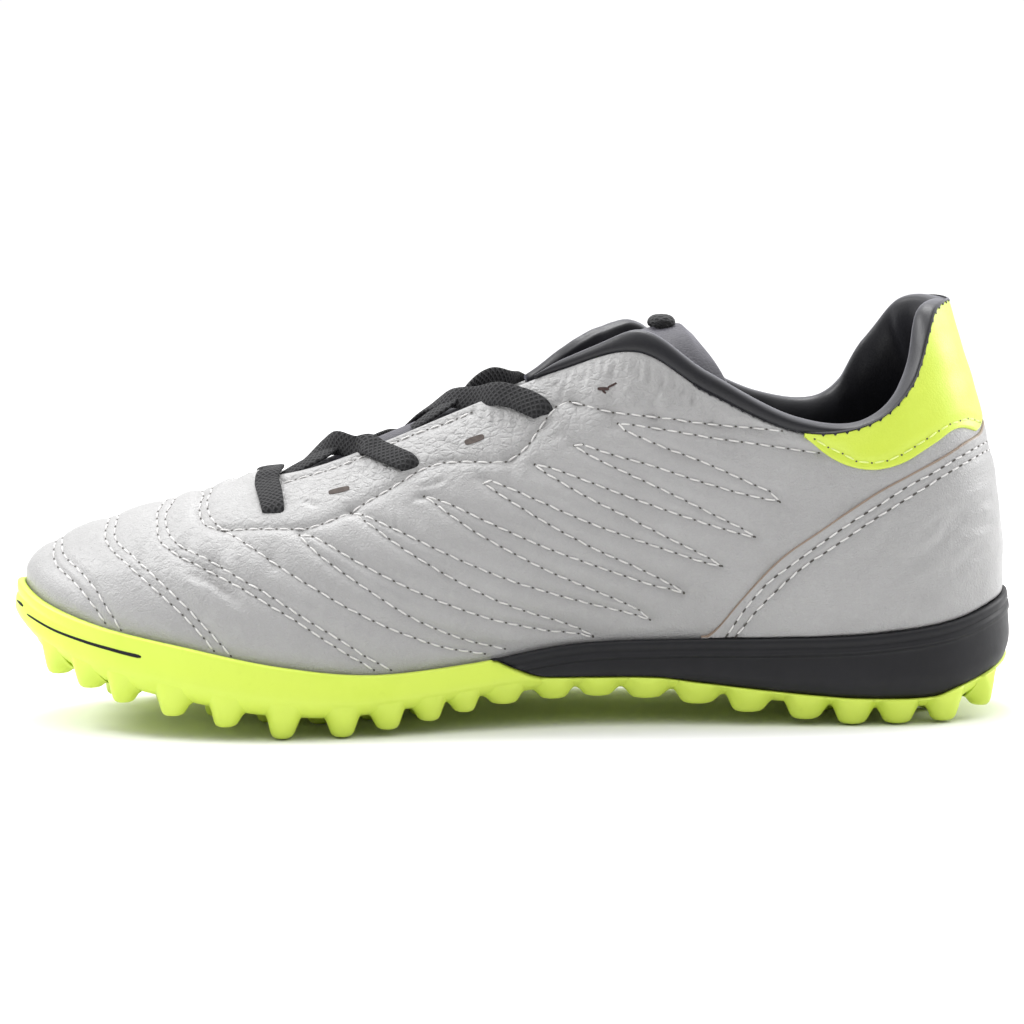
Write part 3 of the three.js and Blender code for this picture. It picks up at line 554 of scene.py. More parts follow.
def make_mesh(name, points, faces, uvs=None, smooth=True):
    """An object in metres from points in millimetres and faces of equal or mixed length."""
    mesh = bpy.data.meshes.new(name)
    mesh.from_pydata((np.asarray(points, float).reshape(-1, 3) * MM).tolist(), [], faces)
    mesh.update()
    if smooth:
        mesh.polygons.foreach_set("use_smooth", [True] * len(mesh.polygons))
    if uvs is not None:
        layer = mesh.uv_layers.new(name="weave")
        corners = np.empty(len(mesh.loops), dtype=int)
        mesh.loops.foreach_get("vertex_index", corners)
        layer.data.foreach_set("uv", np.asarray(uvs, float).reshape(-1, 2)[corners].ravel())
    piece = bpy.data.objects.new(name, mesh)
    bpy.context.scene.collection.objects.link(piece)
    return piece


def grid_faces(count, rows, wrap_columns=False, wrap_rows=False, first=0, flip=False):
    """Quads of a grid of points stored column by column."""
    i = np.arange(count if wrap_columns else count - 1)
    j = np.arange(rows if wrap_rows else rows - 1)
    i, j = np.meshgrid(i, j, indexing="ij")
    i2 = (i + 1) % count
    j2 = (j + 1) % rows
    quads = np.stack([i * rows + j, i2 * rows + j, i2 * rows + j2, i * rows + j2], axis=-1)
    quads = quads.reshape(-1, 4) + first
    if flip:
        quads = quads[:, ::-1]
    return quads.tolist()


def tube_faces(count, ring):
    """Faces of a closed tube of rings, with one face over each end."""
    faces = grid_faces(count, ring, wrap_rows=True)
    faces.append(list(range(ring)))
    faces.append([(count - 1) * ring + k for k in reversed(range(ring))])
    return faces


def cap_faces(rows, first, flip=False):
    """Quads that close a ring whose second half runs back along its first."""
    faces = []
    for k in range(rows // 2 - 1):
        quad = [first + k, first + k + 1, first + rows - 2 - k, first + rows - 1 - k]
        faces.append(quad[::-1] if flip else quad)
    return faces


def join_parts(name, parts, smooth=True):
    """One mesh from a list of (points, faces) or of (points, faces, weave coordinates)."""
    points = [np.asarray(part[0], float).reshape(-1, 3) for part in parts]
    firsts = np.cumsum([0] + [len(own) for own in points]).tolist()
    faces = [[first + k for k in f] for first, part in zip(firsts, parts) for f in part[1]]
    uvs = np.concatenate([part[2] for part in parts]) if len(parts[0]) > 2 else None
    return make_mesh(name, np.concatenate(points), faces, uvs=uvs, smooth=smooth)


def face_outwards(piece):
    """Turns the faces of a closed piece so that they all point out."""
    work = bmesh.new()
    work.from_mesh(piece.data)
    bmesh.ops.recalc_face_normals(work, faces=work.faces)
    work.to_mesh(piece.data)
    work.free()


def closed_piece(name, points, faces, uvs=None, smooth=True):
    """A mesh whose faces all point out."""
    piece = make_mesh(name, points, faces, uvs=uvs, smooth=smooth)
    face_outwards(piece)
    return piece


def joined_piece(name, parts, smooth=True):
    """A mesh of several closed bodies whose faces all point out."""
    piece = join_parts(name, parts, smooth=smooth)
    face_outwards(piece)
    return piece


def set_attribute(piece, name, values):
    """A number for each vertex, for the piece's material."""
    layer = piece.data.attributes.new(name, "FLOAT", "POINT")
    layer.data.foreach_set("value", np.asarray(values, np.float32).ravel())


def smooth_path(points, spacing):
    """A smooth curve through points, at nearly equal steps."""
    points = np.asarray(points, float)
    padded = np.concatenate([[2 * points[0] - points[1]], points, [2 * points[-1] - points[-2]]])
    steps = np.linspace(0, 1, 16, endpoint=False)[:, None]
    fine = [between(*padded[k:k + 4], steps) for k in range(len(points) - 1)]
    fine = np.concatenate(fine + [points[-1:]])
    run = run_along(fine)
    count = max(2, int(round(run[-1] / spacing)) + 1)
    places = np.linspace(0, run[-1], count)
    return np.stack([np.interp(places, run, fine[:, k]) for k in range(fine.shape[1])], axis=1)


# Places of the photograph, in its pixels

VAMP_ROWS = [
    [(55, 543), (53, 552), (56, 565), (72, 580), (89, 600), (105, 623)],
    [(62, 540), (63, 554), (78, 569), (93, 586), (104, 604), (121, 630)],
    [(108, 521), (105, 532), (108, 545), (130, 567), (152, 587), (174, 607), (194, 627), (214, 651)],
    [(117, 519), (114, 532), (118, 543), (134, 557), (158, 580), (178, 599), (198, 620), (231, 656)],
    [
        (167, 498), (158, 510), (157, 523), (160, 541), (178, 555), (195, 563), (217, 575),
        (241, 588), (267, 604), (294, 620), (321, 638), (348, 655), (374, 670),
    ],
    [
        (174, 500), (166, 512), (166, 525), (174, 541), (193, 552), (215, 563), (237, 577),
        (262, 591), (287, 607), (313, 624), (340, 640), (366, 657), (391, 670),
    ],
]
EYESTAY_ROW = [
    (203, 494), (200, 502), (199, 509), (200, 516), (204, 523), (215, 527), (236, 528), (260, 528),
    (299, 528), (313, 526), (328, 521), (346, 513), (367, 501), (387, 490), (406, 478),
    (419, 470), (438, 463), (466, 461), (493, 462), (506, 461), (518, 455), (528, 445),
    (536, 433), (544, 422), (552, 410), (564, 401), (577, 403), (607, 411), (637, 415),
    (665, 418), (708, 424), (754, 428), (782, 431),
]
THROAT_ROW = [
    (280, 483), (304, 476), (331, 468), (357, 458), (394, 442), (421, 431), (447, 422), (471, 412),
]
THROAT_BASE_ROW = [
    (212, 489), (208, 496), (207, 503), (208, 511), (213, 520), (223, 528), (242, 541), (263, 555),
    (286, 571), (312, 587), (342, 605), (365, 617), (393, 630), (420, 640), (445, 648), (485, 654),
]
WING_ROWS = [
    [
        (819, 453), (797, 450), (757, 444), (713, 438), (667, 430), (626, 424), (614, 424),
        (626, 431), (666, 448), (708, 464), (750, 483), (775, 494), (780, 502),
    ],
    [
        (778, 501), (766, 499), (752, 496), (739, 493), (695, 480), (653, 466), (610, 454),
        (582, 444), (571, 443), (593, 457), (633, 476), (674, 495), (714, 515), (751, 533),
        (755, 537),
    ],
    [
        (754, 537), (740, 534), (727, 530), (713, 526), (671, 512), (629, 497), (587, 481),
        (546, 466), (533, 464), (546, 473), (585, 496), (625, 516), (664, 536), (701, 554),
        (722, 566),
    ],
    [
        (720, 566), (709, 564), (669, 551), (628, 537), (587, 522), (546, 504), (505, 486),
        (482, 478), (488, 486), (525, 510), (564, 533), (603, 553), (642, 570), (678, 589),
        (684, 593),
    ],
    [
        (684, 594), (672, 590), (662, 588), (651, 585), (598, 567), (544, 547), (490, 523),
        (450, 504), (424, 495), (436, 504), (472, 530), (511, 552), (550, 572), (588, 588),
        (637, 609), (650, 620),
    ],
    [
        (650, 620), (639, 616), (625, 612), (611, 609), (560, 596), (506, 579), (451, 556),
        (397, 530), (352, 510), (367, 522), (404, 549), (443, 573), (482, 594), (521, 610),
        (570, 625), (593, 636),
    ],
    [
        (593, 637), (580, 634), (562, 632), (542, 630), (490, 619), (436, 600), (394, 581),
        (354, 560), (317, 538), (299, 533), (308, 545), (331, 564), (355, 581), (380, 598),
        (405, 614), (431, 627), (468, 641), (505, 649),
    ],
]
COUNTER_LINE = [
    (711, 641), (716, 631), (724, 620), (733, 607), (746, 594), (761, 577), (774, 563),
    (792, 548), (812, 536), (834, 520), (855, 506), (878, 491), (898, 480), (918, 469),
    (935, 460), (949, 452), (962, 443), (977, 434),
]
COUNTER_ROWS = [
    [
        (727, 634), (746, 607), (768, 582), (799, 559), (827, 539), (856, 519), (882, 503),
        (906, 487), (930, 474), (953, 460), (984, 442),
    ],
    [
        (736, 635), (762, 604), (800, 569), (830, 549), (871, 521), (909, 497), (945, 474),
        (977, 455), (987, 449),
    ],
]
PATCH_LINE = [
    (800, 433), (811, 442), (822, 452), (836, 461), (851, 467), (869, 470), (888, 468),
    (907, 461), (925, 449), (939, 440), (950, 431), (960, 428), (969, 430), (977, 433), (986, 432),
]
PATCH_ROW = [
    (814, 439), (827, 447), (841, 453), (857, 462), (871, 463), (886, 461), (899, 456),
    (910, 449), (920, 443), (928, 437), (939, 430), (949, 424), (959, 421), (967, 419), (977, 423),
]
TOE_LINE_SHORT = [(17, 600), (20, 603), (23, 606)]
TOE_LINE = [
    (27, 614), (36, 620), (46, 626), (56, 631), (66, 635), (77, 639), (92, 644), (106, 648),
    (124, 653), (141, 657),
]


# Steps in pixels at which a row is carried onto the shoe, and the sections searched for rows of the
# whole side, for rows round the heel, for folds and for eyelets.
ROW_STEP = 5.0
SIDE_RANGE = (-1.0, 13.4)
HEEL_RANGE = (-0.6, 6.0)
FOLD_RANGE = (-0.6, 13.2)
EYELET_RANGE = (5.5, 11.5)


def located(pixels, sections=SIDE_RANGE):
    """A row of pixels as a path on the upper's face, in steps of about a millimetre."""
    return face.locate(smooth_path(pixels, ROW_STEP), *sections)


def mirrored(path):
    """The same path on the outer side of the shoe."""
    return np.stack([TURNS - path[:, 0], path[:, 1]], axis=1)


def across_toe(path):
    """A path that starts near the toe's middle, carried over it to the other side."""
    path = path[path[:, 0] < TOE - 0.05]
    start = path[0]
    middle = np.array([TOE, start[1] + (start[1] - path[2][1]) * 0.3])
    bridge = start + (middle - start) * np.linspace(0, 1, 6)[1:, None]
    half = np.concatenate([bridge[::-1], path])
    return np.concatenate([mirrored(half[::-1]), half[1:]])


def both_sides(path):
    """A path and its mirror image."""
    return [path, mirrored(path)]


def stitched_paths():
    """Every sewn row of the upper as (kind, path), paths in section numbers and shares."""
    rows = [("vamp", across_toe(located(row))) for row in VAMP_ROWS]
    rows.append(("vamp", across_toe(located(THROAT_BASE_ROW))))
    for row in WING_ROWS:
        rows += [("wing", path) for path in both_sides(located(row))]
    rows.append(("eyestay", across_toe(located(EYESTAY_ROW))))
    rows += [("eyestay", path) for path in both_sides(located(THROAT_ROW))]
    return rows


# Relief of the leather

# Each kind of seam presses a soft trough of its own depth and width, and a sharper line inside it.
SEAM_PRESS = {
    "vamp": (0.5, 3.4, 0.4, 1.0),
    "wing": (0.62, 2.1, 0.32, 0.9),
    "eyestay": (0.6, 2.2, 0.45, 1.0),
}
# How far the leather swells between its seams, and the steps in which a seam is traced
PUFF = 0.5
SEAM_TRACE = 0.6
CREASE_TRACE = 1.0
# The swelling fades out over these shares of the rib at the rim of the sole and at the top edge
RIM_FADE = 0.05
TOP_FADE = 0.04

# Creases from one place to another on the upper: section number and share of the rib's
# height. bow bends the line sideways, depth is negative for a ridge, all three lengths in millimetres.
CREASES = table(
    "t u t2 u2 bow depth width",
    (12.2, 0.93, 13.0, 0.9, 0.0, 1.1, 7.0),
    (6.3, 0.93, 6.1, 0.72, 2.0, 0.8, 2.6),
    (5.9, 0.9, 5.5, 0.76, 1.5, 0.6, 2.0),
    (6.75, 0.9, 6.5, 0.8, -1.0, 0.5, 1.6),
    (5.3, 0.92, 4.6, 0.86, 1.5, 0.5, 2.2),
    (4.7, 0.94, 3.8, 0.9, 1.0, 0.4, 2.0),
    (5.9, 0.66, 4.9, 0.7, 2.0, 0.45, 2.4),
    (2.9, 0.52, 2.1, 0.34, 2.0, 0.7, 3.0),
    (2.4, 0.55, 1.6, 0.4, 2.0, 0.6, 2.6),
    (1.9, 0.56, 1.1, 0.42, 1.5, 0.5, 2.4),
    (3.3, 0.36, 2.6, 0.16, 2.0, 0.5, 2.6),
    (1.4, 0.5, 0.7, 0.36, 1.0, -0.5, 2.6),
    (9.6, 0.5, 9.3, 0.32, 1.5, 0.4, 2.0),
    (10.3, 0.52, 9.9, 0.3, 1.5, 0.55, 2.4),
    (10.9, 0.56, 10.5, 0.34, 2.0, 0.5, 2.2),
    (11.3, 0.4, 10.7, 0.2, 1.5, 0.5, 2.2),
    (8.2, 0.62, 7.9, 0.48, 1.0, 0.4, 2.0),
    (7.3, 0.74, 7.1, 0.6, 1.0, 0.5, 2.0),
    (4.3, 0.5, 4.1, 0.22, 2.0, 0.45, 5.0),
    (5.2, 0.3, 4.9, 0.1, 2.0, 0.4, 5.0),
    (3.7, 0.62, 3.0, 0.66, 1.5, 0.4, 3.0),
    (3.0, 0.74, 1.9, 0.66, 1.0, -0.4, 2.5),
    (8.36, 0.64, 8.11, 0.46, 0.3, 0.4, 0.45),
)


def along_surface(path, spacing):
    """A path at equal steps of length on the shoe."""
    run = run_along(face.line(path))
    count = max(2, int(run[-1] / spacing) + 1)
    places = np.linspace(0, run[-1], count)
    return np.stack([np.interp(places, run, path[:, k]) for k in (0, 1)], axis=1)


def nearest_distance(targets, points):
    """The distance from each point to the nearest target."""
    tree = KDTree(len(targets))
    for k, target in enumerate(targets.tolist()):
        tree.insert(target, k)
    tree.balance()
    flat = points.reshape(-1, 3).tolist()
    return np.array([tree.find(p)[2] for p in flat]).reshape(points.shape[:-1])


def crease_path(t, u, t2, u2, bow):
    """A slightly bowed line from one place of the upper to another."""
    f = np.linspace(0, 1, 12)
    swell = bow * np.sin(np.pi * f) / float(face.length(t))
    return np.stack([t + (t2 - t) * f, u + (u2 - u) * f + swell], axis=1)


def fade_by_end(path_points, points):
    """How near each point is to the middle of a crease: 1 there and 0 past its ends."""
    start = path_points[0]
    end = path_points[-1]
    run = end - start
    f = ((points - start) @ run) / (run @ run)
    return np.clip(np.sin(np.pi * np.clip(f, 0, 1)), 0, 1) ** 0.6


# Folds along lines of the photograph, in the upper and in the heel counter: both ends and the
# sideways bow in pixels, then depth and width, which are multiplied by FOLD_DEPTH and FOLD_WIDTH.
FOLDS = [
    ((352, 458), (346, 472), 1, 0.3, 0.75),
    ((360, 459), (356, 476), 1, 0.35, 0.75),
    ((368, 461), (367, 479), 0, 0.35, 0.7),
    ((376, 466), (379, 482), 0, 0.3, 0.7),
    ((384, 470), (391, 483), 0, 0.3, 0.8),
    ((477, 406), (473, 419), 1, 0.3, 0.75),
    ((485, 408), (484, 423), 0, 0.35, 0.75),
    ((493, 411), (495, 428), 0, 0.35, 0.7),
    ((502, 413), (506, 430), 0, 0.3, 0.7),
    ((511, 416), (517, 430), 0, 0.3, 0.8),
    ((667, 378), (651, 409), 2, 0.4, 0.8),
    ((677, 382), (664, 404), 2, 0.35, 0.7),
    ((687, 387), (666, 412), 3, 0.4, 0.8),
    ((697, 394), (690, 408), 1, 0.3, 0.7),
    ((624, 400), (646, 391), -3, 0.3, 0.9),
    ((628, 407), (652, 397), -3, 0.3, 0.9),
    ((560, 398), (566, 382), 1, 0.3, 0.7),
    ((553, 392), (558, 380), 1, 0.3, 0.7),
    ((541, 431), (560, 421), -2, 0.4, 1.2),
    ((546, 440), (572, 432), -2, 0.35, 1.4),
    ((178, 557), (240, 604), -4, 0.6, 2.6),
    ((186, 573), (205, 583), -1, 0.3, 1.0),
    ((203, 578), (229, 597), -2, 0.4, 1.0),
    ((222, 588), (246, 612), -2, 0.3, 1.1),
    ((120, 560), (142, 588), -3, -0.4, 3.0),
    ((440, 560), (452, 590), 2, 0.3, 1.6),
    ((700, 455), (725, 470), -2, -0.3, 2.6),
    ((410, 500), (432, 494), 1, 0.3, 0.8),
    ((420, 488), (446, 480), 1, 0.3, 0.8),
    ((300, 500), (322, 508), 1, 0.3, 0.8),
    ((440, 440), (462, 452), 1, 0.3, 0.8),
]
HEEL_FOLDS = [
    ((988, 496), (938, 534), 3, 0.45, 1.5),
    ((981, 512), (926, 548), 3, 0.5, 1.6),
    ((989, 520), (948, 545), 2, 0.4, 1.3),
    ((970, 500), (915, 540), 2, 0.35, 1.3),
    ((960, 535), (900, 572), 3, 0.4, 1.8),
    ((985, 545), (950, 572), 2, 0.35, 1.6),
    ((905, 520), (870, 560), 3, 0.3, 2.0),
]
FOLD_DEPTH = 1.4
FOLD_WIDTH = 1.15
FOLD_STEP = 4.0
FOLD_TRACE = 0.7
# A fold has a small ridge on both sides: height as a share of its depth, place in widths of the
# fold and how sharp it is. A fold counts no further than FOLD_REACH widths from its line.
RIDGE_SHARE = 0.35
RIDGE_PLACE = 1.9
RIDGE_SHARPNESS = 1.6
FOLD_REACH = 3.5
# Pleats under the collar: the sections between which they lie, their number and the share where
# they start, then their lengths, depths and width in millimetres, and how far they lean, in sections,
# and bow, in millimetres.
PLEAT_FIRST = 4.9
PLEAT_LAST = 7.15
PLEATS = 22
PLEAT_TOP = 0.985
PLEAT_LENGTHS = (3.5, 8.0)
PLEAT_DEPTHS = (0.3, 0.6)
PLEAT_WIDTH = 0.8
PLEAT_LEAN = 0.06
PLEAT_BOW = 0.2


def fold_line(start, end, bow):
    """Points of the upper's face along a line between two pixels."""
    a = np.array(start, float)
    b = np.array(end, float)
    aside = unit(np.array([a[1] - b[1], b[0] - a[0]]))
    row = np.stack([a, (a + b) / 2 + aside * bow, b])
    path = face.locate(smooth_path(row, FOLD_STEP), *FOLD_RANGE)
    return along_surface(path, FOLD_TRACE)


def press_line(field, points, line, depth, width):
    """Presses one line of points, with small ridges on both sides, into a field over points."""
    middle = line.mean(axis=0)
    reach = np.linalg.norm(line[0] - line[-1]) / 2 + FOLD_REACH * width
    close = np.linalg.norm(points - middle, axis=-1) < reach
    near = points[close]
    d = np.sqrt(((near[:, None] - line[None]) ** 2).sum(axis=-1).min(axis=1)) / width
    ridge = RIDGE_SHARE * depth * np.exp(-((d - RIDGE_PLACE) ** 2) * RIDGE_SHARPNESS)
    field[close] += (-depth * np.exp(-d * d) + ridge) * fade_by_end(line, near)


def press_folds(field, points, folds):
    """Presses folds of the photograph into a field, on both sides of the shoe."""
    for start, end, bow, depth, width in folds:
        for path in both_sides(fold_line(start, end, bow)):
            press_line(field, points, face.line(path), depth * FOLD_DEPTH, width * FOLD_WIDTH)


def press_pleats(field):
    """Small pleats where the leather is gathered under the collar."""
    draws = np.random.default_rng(RANDOM_SEED + 1)
    for k in range(PLEATS):
        t = PLEAT_FIRST + (PLEAT_LAST - PLEAT_FIRST) * (k + draws.uniform(-0.3, 0.3)) / PLEATS
        low = PLEAT_TOP - draws.uniform(*PLEAT_LENGTHS) / float(face.length(t))
        depth = draws.uniform(*PLEAT_DEPTHS)
        lean = draws.uniform(-PLEAT_LEAN, PLEAT_LEAN)
        for path in both_sides(crease_path(t, PLEAT_TOP, t + lean, low, PLEAT_BOW)):
            line = face.line(along_surface(path, FOLD_TRACE))
            press_line(field, face.points, line, depth, PLEAT_WIDTH)


def relief_field(paths):
    """How far the leather stands out of the upper's smooth face, on the face's own grid."""
    field = np.full(face.points.shape[:2], PUFF)
    for kind, (depth, width, line_depth, line_width) in SEAM_PRESS.items():
        lines = [face.line(along_surface(path, SEAM_TRACE)) for name, path in paths if name == kind]
        d = nearest_distance(np.concatenate(lines), face.points)
        field -= depth * np.exp(-((d / width) ** 2)) + line_depth * np.exp(-((d / line_width) ** 2))
    for t, u, t2, u2, bow, depth, width in zip(*CREASES.values()):
        for first, second in ((t, t2), (TURNS - t, TURNS - t2)):
            path = along_surface(crease_path(first, u, second, u2, bow), CREASE_TRACE)
            press_line(field, face.points, face.line(path), depth, width)
    press_folds(field, face.points, FOLDS)
    press_pleats(field)
    shares = np.linspace(0, 1, face.rows)
    at_rim = np.clip(shares / RIM_FADE, 0, 1)
    at_top = np.clip((1 - shares) / TOP_FADE, 0, 1)
    return field * (at_rim * at_top)[None, :]


def leather_point(t, u, lift=0.0):
    """A point on the finished leather, lifted off it."""
    out = face.read(relief, t, u) + lift
    return face.point(t, u) - face.normal(t, u) * np.asarray(out)[..., None]


# Where the leather has crackled: section number, share of the height, half widths of the area in
# both and how strong it is there.
CRACKLED = [
    (8.4, 0.86, 2.6, 0.2, 1.0),
    (6.6, 0.9, 1.0, 0.12, 0.7),
    (5.2, 0.88, 1.2, 0.12, 0.4),
    (10.8, 0.5, 1.6, 0.3, 0.5),
    (2.2, 0.45, 1.0, 0.2, 0.35),
]


def grain_at(ts, u):
    """How strongly the leather's grain has crackled, from 0 to 1."""
    grain = np.full(len(ts), 0.12)
    side = np.minimum(ts, TURNS - ts)
    for t, at, half, high, amount in CRACKLED:
        near = np.exp(-(((side - t) / half) ** 4) - ((u - at) / high) ** 4)
        grain = np.maximum(grain, amount * near)
    return grain


# The rolled top edge of the leather: height above the face's end and depth into the wall
TOP_ROLL = [(0.2, 0.4), (0.28, 1.1), (0.2, 1.8)]
OUTER_ROWS = 124
LINING_ROWS = 22
NEAR_STEP = 1 / 32
FAR_STEP = 1 / 16


def foot_points(ts, depth):
    """The wall's foot inside the rim of the sole."""
    foot = inset_point(ts, UPPER_INSET + depth)
    seat = inset_point(ts, RIM_INNER)
    return raised(foot, bed_height(seat[:, 0]) + FIT_GAP)


def upper_piece():
    """The leather shell: outer face, rolled top edge and lining side, closed at the foot."""
    ts = np.concatenate([np.arange(0, TOE, NEAR_STEP), np.arange(TOE, TURNS, FAR_STEP)])
    outer = np.linspace(0, 1, OUTER_ROWS)
    columns = [foot_points(ts, 0.0)]
    columns += [leather_point(ts, u) for u in outer]
    columns += [shell_point(ts, -up, depth) for up, depth in TOP_ROLL]
    lining_from = len(columns)
    for u in np.linspace(1, 0, LINING_ROWS):
        columns.append(face.point(ts, u) + face.normal(ts, u) * UPPER_WALL)
    columns.append(foot_points(ts, UPPER_WALL))
    points = np.stack(columns, axis=1)
    rows = points.shape[1]
    faces = grid_faces(len(ts), rows, wrap_columns=True, wrap_rows=True)
    piece = closed_piece("upper_leather", points, faces)
    press = np.zeros(points.shape[:2])
    grain = np.full(points.shape[:2], 0.25)
    for j, u in enumerate(outer):
        press[:, j + 1] = np.clip(PUFF - face.read(relief, ts, u), 0, 2)
        grain[:, j + 1] = grain_at(ts, u)
    # press is the depth of the seams' troughs, which sets the painted seam shade of the grey leather.
    set_attribute(piece, "press", press)
    set_attribute(piece, "grain", grain)
    index = np.arange(len(ts) * rows) % rows
    first = np.array([index[p.vertices[0]] for p in piece.data.polygons])
    highest = np.array([max(index[v] for v in p.vertices) for p in piece.data.polygons])
    lining = (first >= lining_from) | (highest > lining_from + 1)
    piece.data.polygons.foreach_set("material_index", lining.astype(int))
    return piece


# Sewing

STITCH_PITCH = 4.3
STITCH_LENGTH = 3.1
STITCH_TURN = 0.1
THREAD_RADIUS = 0.25
THREAD_SIDES = 7
# Rings along one stitch: place along it, radius and height, as shares of length and radius
STITCH_RINGS = [
    (-0.5, 0.35, -1.3), (-0.44, 0.8, -0.6), (-0.25, 1.0, 0.3), (0.0, 1.05, 0.55),
    (0.25, 1.0, 0.3), (0.44, 0.8, -0.6), (0.5, 0.35, -1.3),
]
HOLE_RADIUS = 0.27
HOLE_SIDES = 8
HOLE_LIFT = 0.05
STITCH_LIFT = 0.1
OVERLAY_STITCH_LIFT = FIT_GAP + OVERLAY_WALL - 0.25
# Lengths of the dark discs of painted shade at the needle holes, as shares of their width
HOLE_SLOT = 1.4
COUNTER_SLOT = 3.2
PATCH_SLOT = 1.2
DRAWS = np.random.default_rng(RANDOM_SEED)


def stitch_template():
    """One stitch along X, as points and faces."""
    angles = turn_angles(THREAD_SIDES)
    rings = []
    for place, radius, height in STITCH_RINGS:
        x = np.full(THREAD_SIDES, place * STITCH_LENGTH)
        y = np.cos(angles) * radius * THREAD_RADIUS
        z = (np.sin(angles) * radius + height) * THREAD_RADIUS
        rings.append(np.stack([x, y, z], axis=1))
    return np.concatenate(rings), tube_faces(len(STITCH_RINGS), THREAD_SIDES)


def frames_along(points, normals):
    """Axes along a row of points: forwards, sideways and outwards."""
    forward = unit(np.gradient(points, axis=0))
    out = unit(-normals - forward * (-normals * forward).sum(axis=1, keepdims=True))
    return forward, np.cross(out, forward), out


def sewn_row(points, normals, slot=HOLE_SLOT):
    """Stitches, and dark discs of painted shade at the needle holes, along a row of places, as two
    lists of (points, faces). slot is a hole's length as a share of its width."""
    forward, side, out = frames_along(points, normals)
    shape, faces = stitch_template()
    turns = turn_angles(HOLE_SIDES)[:, None]
    disc = [list(range(HOLE_SIDES))]
    stitches = []
    hole_shades = []
    for k in range(len(points) - 1):
        middle = (points[k] + points[k + 1]) / 2
        ahead = unit(points[k + 1] - points[k])
        up = out[k] + out[k + 1]
        up = unit(up - ahead * (up @ ahead))
        ahead = unit(ahead + np.cross(up, ahead) * DRAWS.uniform(-STITCH_TURN, STITCH_TURN))
        axes = np.array([ahead, np.cross(up, ahead), up])
        stitches.append((middle + shape @ axes, faces))
    # Dark discs of painted shade where the thread goes into the leather
    for k in range(len(points)):
        ring = side[k] * np.cos(turns) + forward[k] * np.sin(turns) * slot
        hole_shades.append((points[k] + out[k] * HOLE_LIFT + ring * HOLE_RADIUS, disc))
    return stitches, hole_shades


# Heel counter and heel patch

OVERLAY_STEP = 1 / 32
OVERLAY_ROWS = 60
OVERLAY_BACK_ROWS = 14
OVERLAY_TROUGH = 1.5
# The rolled cut edge of an overlay: distance from the edge and height as a share of its own
OVERLAY_EDGE = table(
    "cut level",
    (0.9, 1.0),
    (0.45, 0.97),
    (0.12, 0.8),
    (0.0, 0.5),
    (0.05, 0.1),
)
# An edge read from the photograph is smoothed over EDGE_BLUR of its EDGE_POINTS places
EDGE_POINTS = 400
EDGE_BLUR = 45


def edge_function(pixels, low_end, high_end):
    """Share of the rib's height along an edge, for section numbers counted from the heel."""
    path = located(pixels, HEEL_RANGE)
    path = path[np.argsort(path[:, 0])]
    keep = path[:, 0] > 0.0
    ts = np.concatenate([[0.0], path[keep, 0], [high_end[0]]])
    us = np.concatenate([[low_end], path[keep, 1], [high_end[1]]])
    even = np.linspace(0, high_end[0], EDGE_POINTS)
    value = np.interp(even, ts, us)
    half = EDGE_BLUR // 2
    before = value[1:half + 1][::-1]
    after = 2 * value[-1] - value[-half - 1:-1][::-1]
    blur = np.hanning(EDGE_BLUR + 2)[1:-1]
    value = np.convolve(np.concatenate([before, value, after]), blur / blur.sum(), mode="valid")
    return lambda q: np.interp(q, even, value)


def overlay_relief(t, u, rows, press):
    """Troughs along the sewn rows of an overlay."""
    sewn = [path for row in rows for path in both_sides(row)]
    lines = [face.line(along_surface(path, SEAM_TRACE)) for path in sewn]
    d = nearest_distance(np.concatenate(lines), face.point(t, u))
    return -press * np.exp(-((d / OVERLAY_TROUGH) ** 2))


def overlay_rows(bottom, top, size, edge_at):
    """Shares of the rib's height across an overlay and its height there, with the cut edge at the
    top or at the bottom."""
    cut = OVERLAY_EDGE["cut"][None, :] / size[:, None]
    level = np.tile(OVERLAY_EDGE["level"][1:], (len(size), 1))
    blend = np.linspace(0, 1, OVERLAY_ROWS)[None, :]
    bottom = bottom[:, None]
    top = top[:, None]
    if edge_at == "top":
        inner = bottom + (top - cut[:, :1] - bottom) * blend
        parts = [inner, top - cut[:, 1:]]
        levels = [np.ones_like(inner), level]
    else:
        inner = bottom + cut[:, :1] + (top - bottom - cut[:, :1]) * blend
        parts = [bottom + cut[:, :0:-1], inner]
        levels = [level[:, ::-1], np.ones_like(inner)]
    return np.concatenate(parts, axis=1), np.concatenate(levels, axis=1)


def over_edge(t, u, size, lift):
    """Points on the upper's face, lifted off it, where a share past 1 goes on above its edge."""
    return shell_point(t, (1 - np.minimum(u, 1)) * size - np.maximum(0, u - 1) * size, -lift)


def overlay_piece(name, reach, lower, upper, edge_at, rows, press, waves, folds):
    """A raised leather layer between two edges, with a rolled cut edge at its top or bottom. reach
    is how many sections it runs from the heel's middle."""
    q = np.arange(-reach, reach + 1e-6, OVERLAY_STEP)
    size = face.length(q % TURNS)
    bottom = lower(np.abs(q))
    top = upper(np.abs(q))
    u, lift = overlay_rows(bottom, top, size, edge_at)
    size = size[:, None]
    t = np.repeat((q % TURNS)[:, None], u.shape[1], axis=1)
    troughs = overlay_relief(t, u, rows, press)
    swell = waves * wrinkle(face.point(t, u))
    press_folds(swell, face.point(t, u), folds)
    height = (FIT_GAP + OVERLAY_WALL) * lift + (troughs + swell) * (lift > 0.9)
    outer = over_edge(t, u, size, height)
    back = top[:, None] + (bottom - top)[:, None] * np.linspace(0, 1, OVERLAY_BACK_ROWS)[None, :]
    height = np.where(back > 1, FIT_GAP + 0.65, 0.05)
    inner = over_edge(t[:, :OVERLAY_BACK_ROWS], back, size, height)
    points = np.concatenate([outer, inner], axis=1)
    piece = closed_piece(name, points, tube_faces(len(q), points.shape[1]))
    cut_edge = np.concatenate([(lift < 0.99).astype(float), np.full_like(back, 0.5)], axis=1)
    set_attribute(piece, "cut_edge", cut_edge)
    return piece


